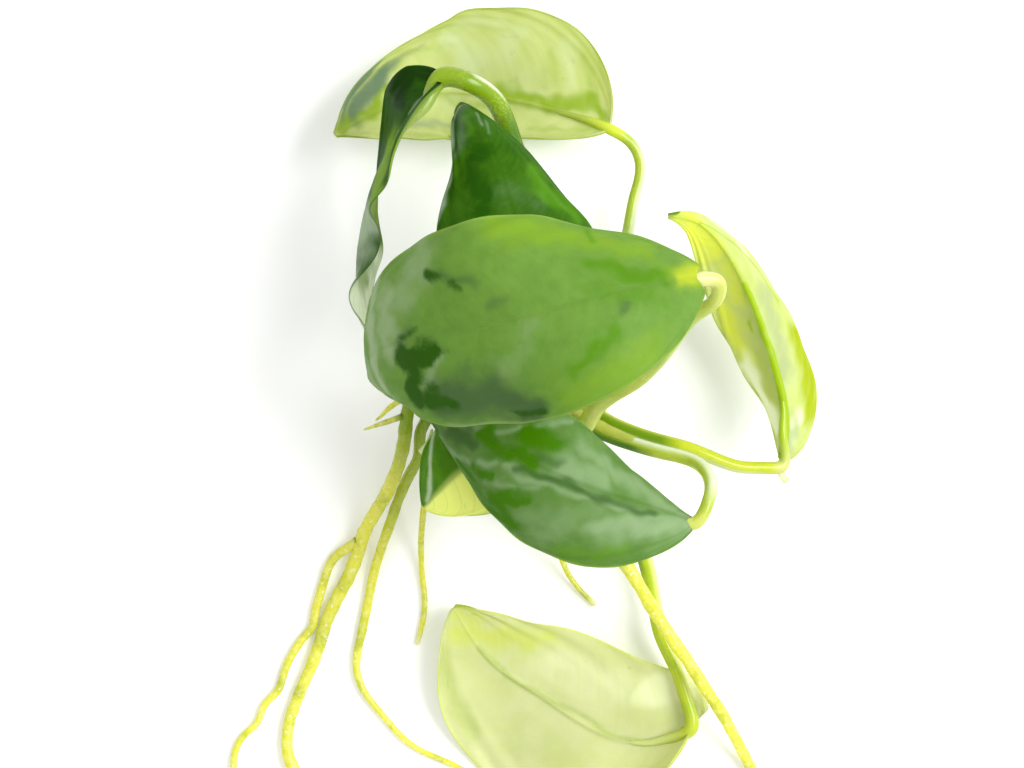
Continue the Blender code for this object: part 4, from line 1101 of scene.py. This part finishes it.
# Strokes of each paint on a blade: width in millimetres, strength, then its places as (along, across)
MARKS = {
    "front_leaf": dict(
        warm=[
            (2.7, 0.8, (0.41, 0.86), (0.25, 0.75), (0.10, 0.60)), (3.4, 0.6, (0.35, -0.83), (0.17, -0.83)),
            (2.1, 0.7, (0.07, 0.16), (0.01, 0.05)),
        ],
        vivid=[
            (1.7, 0.75, (0.23, 0.36), (0.09, 0.05)), (2.1, 0.5, (0.23, 0.09), (0.12, -0.19)),
            (1.6, 0.75, (0.32, -0.60), (0.24, -0.46)), (0.9, 0.7, (0.20, 0.96), (0.21, 0.73)),
        ],
        pale=[(1.6, 0.72, (0.00, 0.32), (0.04, -0.03))],
        painted_sheen=[
            (1.9, 1, (0.79, 0.82), (0.80, 0.29), (0.84, -0.12), (0.85, -0.58)),
            (3, 0.8, (0.73, 0.52), (0.74, 0.02)), (3, 0.6, (0.79, 0.68), (0.81, 0.00)),
            (3.5, 0.62, (0.61, 0.81), (0.68, 0.44)), (1.5, 0.7, (0.61, -0.19), (0.65, -0.47)),
            (0.5, 0.6, (0.65, -0.98), (0.42, -1.00)), (2.4, 0.36, (0.39, -0.14), (0.47, -0.48)),
            (1.6, 0.5, (0.57, -0.62), (0.50, -0.63)), (3.5, 0.7, (0.94, -0.50), (0.94, 0.50)),
        ],
        # Painted shade, deepest near the margin where the lower leaf overlaps the blade
        shade=[
            (4, 1, (0.62, -0.68), (0.54, -0.62), (0.49, -0.74)), (2, 1, (0.48, -0.77), (0.43, -0.90)),
            (1.3, 0.5, (0.58, 0.61), (0.49, 0.42)), (0.7, 0.6, (0.19, -0.16), (0.20, -0.24)),
            (0.9, 0.45, (0.46, 0.20), (0.42, 0.19)), (1.2, 0.5, (0.71, -0.03), (0.66, 0.11)),
        ],
        dark=[
            (2, 1, (0.70, -0.19), (0.62, -0.18)), (1.8, 1, (0.67, -0.23), (0.71, -0.64)),
            (1.6, 0.95, (0.67, -0.63), (0.61, -0.71)), (0.8, 0.85, (0.49, -0.86), (0.42, -0.91)),
            (0.8, 0.62, (0.59, 0.63), (0.57, 0.56)), (0.8, 0.6, (0.54, 0.47), (0.52, 0.40)),
            (0.8, 0.62, (0.69, 0.07), (0.65, 0.11)),
        ],
    ),
    "lower_leaf": dict(
        vivid=[(1.7, 0.65, (0.36, -0.90), (0.20, -0.73))],
        painted_sheen=[
            (0.8, 0.8, (0.90, -0.99), (0.65, -0.22), (0.35, -0.12), (0.04, -0.19)),
            (0.7, 0.6, (0.67, -0.59), (0.50, -0.23)), (2.5, 0.9, (0.46, 0.12), (0.32, 0.15)),
            (2.1, 0.75, (0.42, 0.56), (0.18, 0.30), (0.07, 0.17)),
            (2.2, 0.9, (0.29, -0.45), (0.01, -0.32)),
            (0.7, 0.75, (0.90, -0.30), (0.70, 0.23), (0.51, 0.89)),
            (2.2, 0.45, (0.51, -0.72), (0.30, -0.21)), (1.9, 0.5, (0.44, -0.73), (0.37, -0.49)),
        ],
        shade=[
            (0.7, 0.75, (0.59, -0.16), (0.43, -0.07), (0.12, -0.15)),
            (1.4, 0.9, (0.88, -0.39), (0.77, -0.14)), (1, 0.6, (0.54, 0.14), (0.47, 0.16)),
        ],
        dark=[
            (1.8, 0.95, (0.73, -0.01), (0.64, -0.09)), (2.2, 0.9, (0.61, 0.39), (0.53, 0.39)),
            (1.4, 0.85, (0.64, 0.02), (0.56, -0.02)),
            (1.5, 0.9, (0.77, -0.77), (0.69, -0.87), (0.60, -0.97)),
            (1.3, 0.8, (0.73, -0.57), (0.66, -0.46)), (1.4, 0.9, (0.64, -0.81), (0.53, -0.43)),
            (1.8, 0.95, (0.59, -0.76), (0.53, -0.87)),
        ],
    ),
    "small_leaf": dict(
        painted_sheen=[(0.5, 1, (0.66, 1.00), (0.79, 0.52), (0.94, 0.08))],
    ),
    "middle_leaf": dict(
        vivid=[
            (1.8, 0.85, (0.53, 0.56), (0.36, 0.83)), (1, 0.6, (0.83, -0.19), (0.74, -0.29)),
            (1, 0.45, (0.70, -0.63), (0.64, -0.80)),
        ],
        painted_sheen=[
            (0.3, 0.5, (0.80, 0.25), (0.74, 0.12)), (0.3, 0.42, (0.76, 0.37), (0.70, 0.15)),
            (2.8, 0.22, (0.49, -0.02), (0.45, 0.30)), (1.3, 0.4, (0.85, -0.19), (0.71, -0.69)),
            (0.7, 1, (0.88, -0.38), (0.83, -1.00), (0.70, -1.00), (0.60, -1.00), (0.48, -0.96)),
        ],
        dark=[(2, 0.75, (0.64, -0.36), (0.48, -0.34), (0.45, -0.39))],
    ),
    "folded_leaf": dict(
        vivid=[(2.8, 1.1, (0.28, 0.00), (0.34, -0.50), (0.40, -0.90))],
        # Painted light: the tip and one margin are pale with light shining through them
        pale=[(5.5, 1.3, (0.88, -0.40), (0.95, 0.30)), (2.2, 1.1, (0.66, 0.95), (0.80, 0.85))],
        painted_sheen=[
            (4, 1.1, (0.54, -0.80), (0.60, 0.20)), (3, 0.7, (0.66, -0.60), (0.70, 0.40)),
            (0.4, 0.9, (0.01, 0.01), (0.13, -0.03)),
        ],
        dark=[(3, 0.9, (0.02, 0.90), (0.12, 0.50))],
    ),
    "top_leaf": dict(
        vivid=[
            (1.5, 0.9, (0.37, -0.06), (0.22, -0.04), (0.03, -0.35)),
            (1.2, 0.5, (0.57, 0.12), (0.42, 0.17)), (1, 0.4, (0.71, -0.65), (0.52, -0.49)),
            (1.3, 1, (0.97, -0.30), (0.83, -0.06), (0.77, -0.24)),
            (1.3, 0.35, (0.25, -0.54), (0.23, -0.24)), (1.3, 0.35, (0.14, -0.78), (0.09, -0.50)),
            (1.3, 0.45, (0.23, 0.41), (0.03, 0.31)),
        ],
        pale=[
            (2.7, 0.7, (0.54, -0.65), (0.47, -0.31)), (1.8, 0.5, (0.36, -0.69), (0.38, -0.39)),
            (1.6, 0.5, (0.20, -0.75), (0.17, -0.41)), (1.8, 0.6, (0.51, -0.79), (0.38, -0.78)),
        ],
        painted_sheen=[(1.2, 0.7, (0.76, 0.46), (0.53, 0.57)), (0.9, 0.5, (0.74, -0.63), (0.65, -0.65))],
        # Painted grey sheen of the upper face where the tip rolls over
        shade=[
            (2.2, 0.95, (0.82, -1.00), (0.88, -1.00), (0.93, -1.00)),
            (2.1, 0.85, (0.77, -0.51), (0.83, -0.49), (0.89, -0.38)),
        ],
    ),
    "right_leaf": dict(
        # Painted light and shade on this leaf: warm and the first pale stroke brighten the half that the fold
        # shades, and the grey sheen strokes dull the half that faces the lamp
        warm=[
            (2.3, 0.85, (0.93, 0.49), (0.78, 0.35)), (2.2, 0.6, (0.71, 0.25), (0.58, 0.28)),
            (2.1, 0.75, (0.58, 0.79), (0.46, 0.68), (0.35, 0.63)),
        ],
        vivid=[(2.4, 1.2, (0.37, -0.89), (0.26, -0.89), (0.17, -0.78))],
        pale=[
            (1.9, 1, (0.34, 0.71), (0.20, 0.70), (0.13, 0.51)), (1.3, 0.8, (0.14, -0.43), (0.07, -0.17)),
            (1.2, 0.6, (0.84, -1.00), (0.71, -0.82)),
        ],
        painted_sheen=[
            (2, 0.9, (0.57, -0.49), (0.43, -0.30), (0.29, -0.21)),
            (1.5, 0.8, (0.12, -0.28), (0.04, -0.13)),
        ],
        shade=[
            (0.3, 0.9, (0.63, 0.03), (0.50, 0.00)),
            (0.5, 1, (0.50, 0.00), (0.36, 0.01), (0.24, 0.00), (0.15, -0.03), (0.06, 0.00), (0.01, 0.13)),
            (0.4, 0.7, (0.49, 0.23), (0.46, 0.24)),
            (0.2, 0.8, (0.89, -0.02), (0.73, -0.63), (0.63, -0.75), (0.51, -0.80)),
        ],
        dark=[(0.6, 1, (1.00, -0.98), (0.97, -0.99))],
    ),
    "bottom_leaf": dict(
        warm=[
            (2.1, 0.8, (0.90, 0.69), (0.80, 0.74), (0.69, 0.75)), (2.7, 0.4, (0.53, 0.54), (0.39, 0.43)),
        ],
        vivid=[(3, 0.62, (0.95, 0.16), (0.80, -0.46), (0.66, -0.68))],
        pale=[(3.9, 0.6, (0.56, -0.51), (0.33, -0.59)), (3.3, 1, (0.21, -0.70), (0.09, -0.78))],
        shade=[(0.6, 0.5, (0.83, 0.00), (0.60, 0.00), (0.36, -0.07), (0.18, -0.02), (0.00, 0.04))],
        dark=[(0.2, 1, (0.01, -0.11), (0.00, 0.14))],
    ),
}

# The stripe is a darker side, partly the stalk's own colour and partly painted shade, and the highlight is a
# painted highlight. The way is the heading that a stripe or a highlight faces, its edge how squarely a side
# has to face it to show (0 edge on, 1 full on), and its span the stretch along the stalk, from 0 at the
# rhizome to 1 at the joint
STALK_LOOK = dict(
    skin="#b4c050", cloud="#a8ba42", streak="#96ae3a", grain="#c4d06c", grains=0.3, base="#c9d27a",
    base_span=(0.02, 0.22), joint="#d8da5e", joint_from=0.93, joint_swell=0.10,
    stripe="#a4bc40", stripe_way=(-0.4, -1, 0.2), stripe_edge=0.5, stripe_span=(0, 0.9),
    painted_highlight="#dce4bc", painted_highlight_way=(0.5, 0.8, 0.3), painted_highlight_edge=0.5, painted_highlight_span=(0.1, 0.95),
    through="#d8e44c", through_cloud="#c6d830", share=0.35, coat=0.30, specular=0.4,
)
STALK_LOOKS = {
    "front_leaf": STALK_LOOK | dict(
        skin="#ccd07a", cloud="#c4cc66", streak="#b2c258", joint="#dad894", stripe="#9db85a",
        stripe_span=(0.55, 0.86), through="#e4e870",
    ),
    "lower_leaf": STALK_LOOK | dict(
        skin="#b6c24a", cloud="#acbc3c", streak="#a0b434", joint="#c8cc66", stripe="#447604",
        stripe_way=(-0.35, -0.8, 0.7), stripe_span=(0.05, 0.58), painted_highlight="#e2ead0", painted_highlight_way=(0.4, 0.8, 0.5),
        painted_highlight_span=(0.34, 0.95),
    ),
    "right_leaf": STALK_LOOK | dict(
        skin="#c8cc20", cloud="#c0c818", streak="#b0c010", joint="#ccd078", stripe="#6c9004",
        stripe_way=(0.05, 0.1, 1), stripe_span=(0.20, 0.62), painted_highlight="#d2dcac", painted_highlight_way=(-0.3, -0.9, 0.2),
    ),
    "folded_leaf": STALK_LOOK | dict(
        skin="#8ca434", cloud="#809c28", streak="#70901c", grain="#c8d84c", grains=0.9, base="#457404",
        base_span=(0.75, 0.86), stripe="#7c9e04", stripe_way=(-0.1, -0.1, 1), stripe_span=(0.80, 1.0),
        stripe_edge=0.3, painted_highlight="#eef2e2", painted_highlight_way=(0.7, 0.65, 0.4), painted_highlight_span=(0.70, 0.99),
        painted_highlight_edge=0.91, joint="#8cac14", through="#a0b818",
    ),
    "top_leaf": STALK_LOOK | dict(
        skin="#b0c03c", cloud="#a4b838", streak="#98b040", base="#a8c898", base_span=(0.45, 0.75),
        joint="#cfdc40", painted_highlight="#dfe6cc", painted_highlight_way=(1, 0.1, 0.3),
    ),
    "bottom_leaf": STALK_LOOK | dict(
        skin="#c0cc2c", cloud="#b0c41c", streak="#98b410", joint="#c0cc3c", stripe="#608c04",
        stripe_way=(-1, -0.2, 0.2), stripe_span=(0.0, 0.55), painted_highlight="#e8ee9c", painted_highlight_way=(1, 0.2, 0.3),
    ),
}
SHEATH_LOOK = PALE_LOOK | dict(
    skin=("#bcc258", "#d0d47a", "#d8dc70"), cloud=("#c4ca68", "#d4d880", "#d8dc78"),
    wall=0.16, ridge=0.05, wave=0.03, frill=0.10, veins=4, veins_show=0.0, rib_shows=0.0,
)
THREAD_LOOK = SHEATH_LOOK | dict(
    skin=("#e6e9c4", "#eef0d4", "#f2f4d8"), cloud=("#dde2b4", "#e6eac8", "#ecf0cc"),
)

# core is the strand's share of the solid's radius, hairs how many stand on a millimetre of root, and
# hair_length their length in millimetres
ROOT_LOOK = dict(
    skin="#e2e04c", green="#bcc61c", mottle="#f2f098", crown="#92b004", tip="#f0f0c8", painted_glint="#fcfce8",
    through="#f2f256", share=0.45, coat=0.7, specular=0.5, core=0.94, hairs=22, hair_length=0.16,
)


def build_plant():
    for name, leaf in LEAVES.items():
        look, slot = LOOKS[name]
        blade = add_blade(name + "_blade", leaf, look, leaf_finish(name + "_waxy_skin", look))
        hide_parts(name)
        stalk_look = STALK_LOOKS.get(name, STALK_LOOK)
        finish = stalk_finish(name + "_stalk_skin", stalk_look, look["rib"][1])
        stalk = add_stalk(name + "_stalk_stem", leaf, stalk_look, finish)
        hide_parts(name + "_stalk")
    wet_root = root_finish("wet_root", ROOT_LOOK)
    for name, root in ROOTS.items():
        strand = add_root(name + "_strand", root, ROOT_LOOK, wet_root)
        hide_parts(name)
    papery = leaf_finish("papery_sheath", SHEATH_LOOK)
    dry = leaf_finish("dry_thread", THREAD_LOOK)
    for name, sheath in SHEATHS.items():
        add_sheath(name, sheath, papery if name == "stalk_sheath" else dry)
    rhizome = add_rhizome("rhizome_stem", rhizome_finish())
    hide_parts("rhizome")


# Floor, light and camera


def add_floor():
    """A plain pale floor, far larger than the view. It glows a little, which keeps its white even."""
    corners = np.array([(-1, -1, 0), (1, -1, 0), (1, 1, 0), (-1, 1, 0)]) * FLOOR_HALF_WIDTH
    mesh = bpy.data.meshes.new("floor")
    mesh.from_pydata(corners.tolist(), [], [(0, 1, 2, 3)])
    material, tree = new_material("matt_white_floor")
    surface = {"Base Color": linear("#eeeeed"), "Roughness": 0.9}
    surface |= {"Emission Color": linear("#ffffff"), "Emission Strength": FLOOR_GLOW}
    surface = add_node(tree, "ShaderNodeBsdfPrincipled", surface)
    add_node(tree, "ShaderNodeOutputMaterial", {"Surface": surface})
    mesh.materials.append(material)
    link_object("floor", mesh)


def add_light():
    """A white sky all round, and one broad round lamp that aims at the plant."""
    world = bpy.data.worlds.new("soft_studio")
    bpy.context.scene.world = world
    world.use_nodes = True
    world.node_tree.nodes["Background"].inputs["Color"].default_value = linear("#ffffff")
    lamp = bpy.data.lights.new("soft_key", "AREA")
    lamp.shape = "DISK"
    lamp.size = LAMP_SIZE
    lamp.energy = LAMP_POWER
    holder = link_object("soft_key", lamp)
    holder.location = LAMP_PLACE
    holder.rotation_mode = "QUATERNION"
    holder.rotation_quaternion = (Vector(LAMP_AIM) - Vector(LAMP_PLACE)).to_track_quat("-Z", "Y")


def add_camera():
    camera = bpy.data.cameras.new("camera")
    camera.sensor_width = SENSOR_WIDTH
    camera.lens = LENS
    camera.clip_start = 0.01
    holder = link_object("camera", camera)
    holder.location = CAMERA_PLACE
    bpy.context.scene.camera = holder
    bpy.context.scene.view_settings.view_transform = "Standard"


build_plant()
add_floor()
add_light()
add_camera()
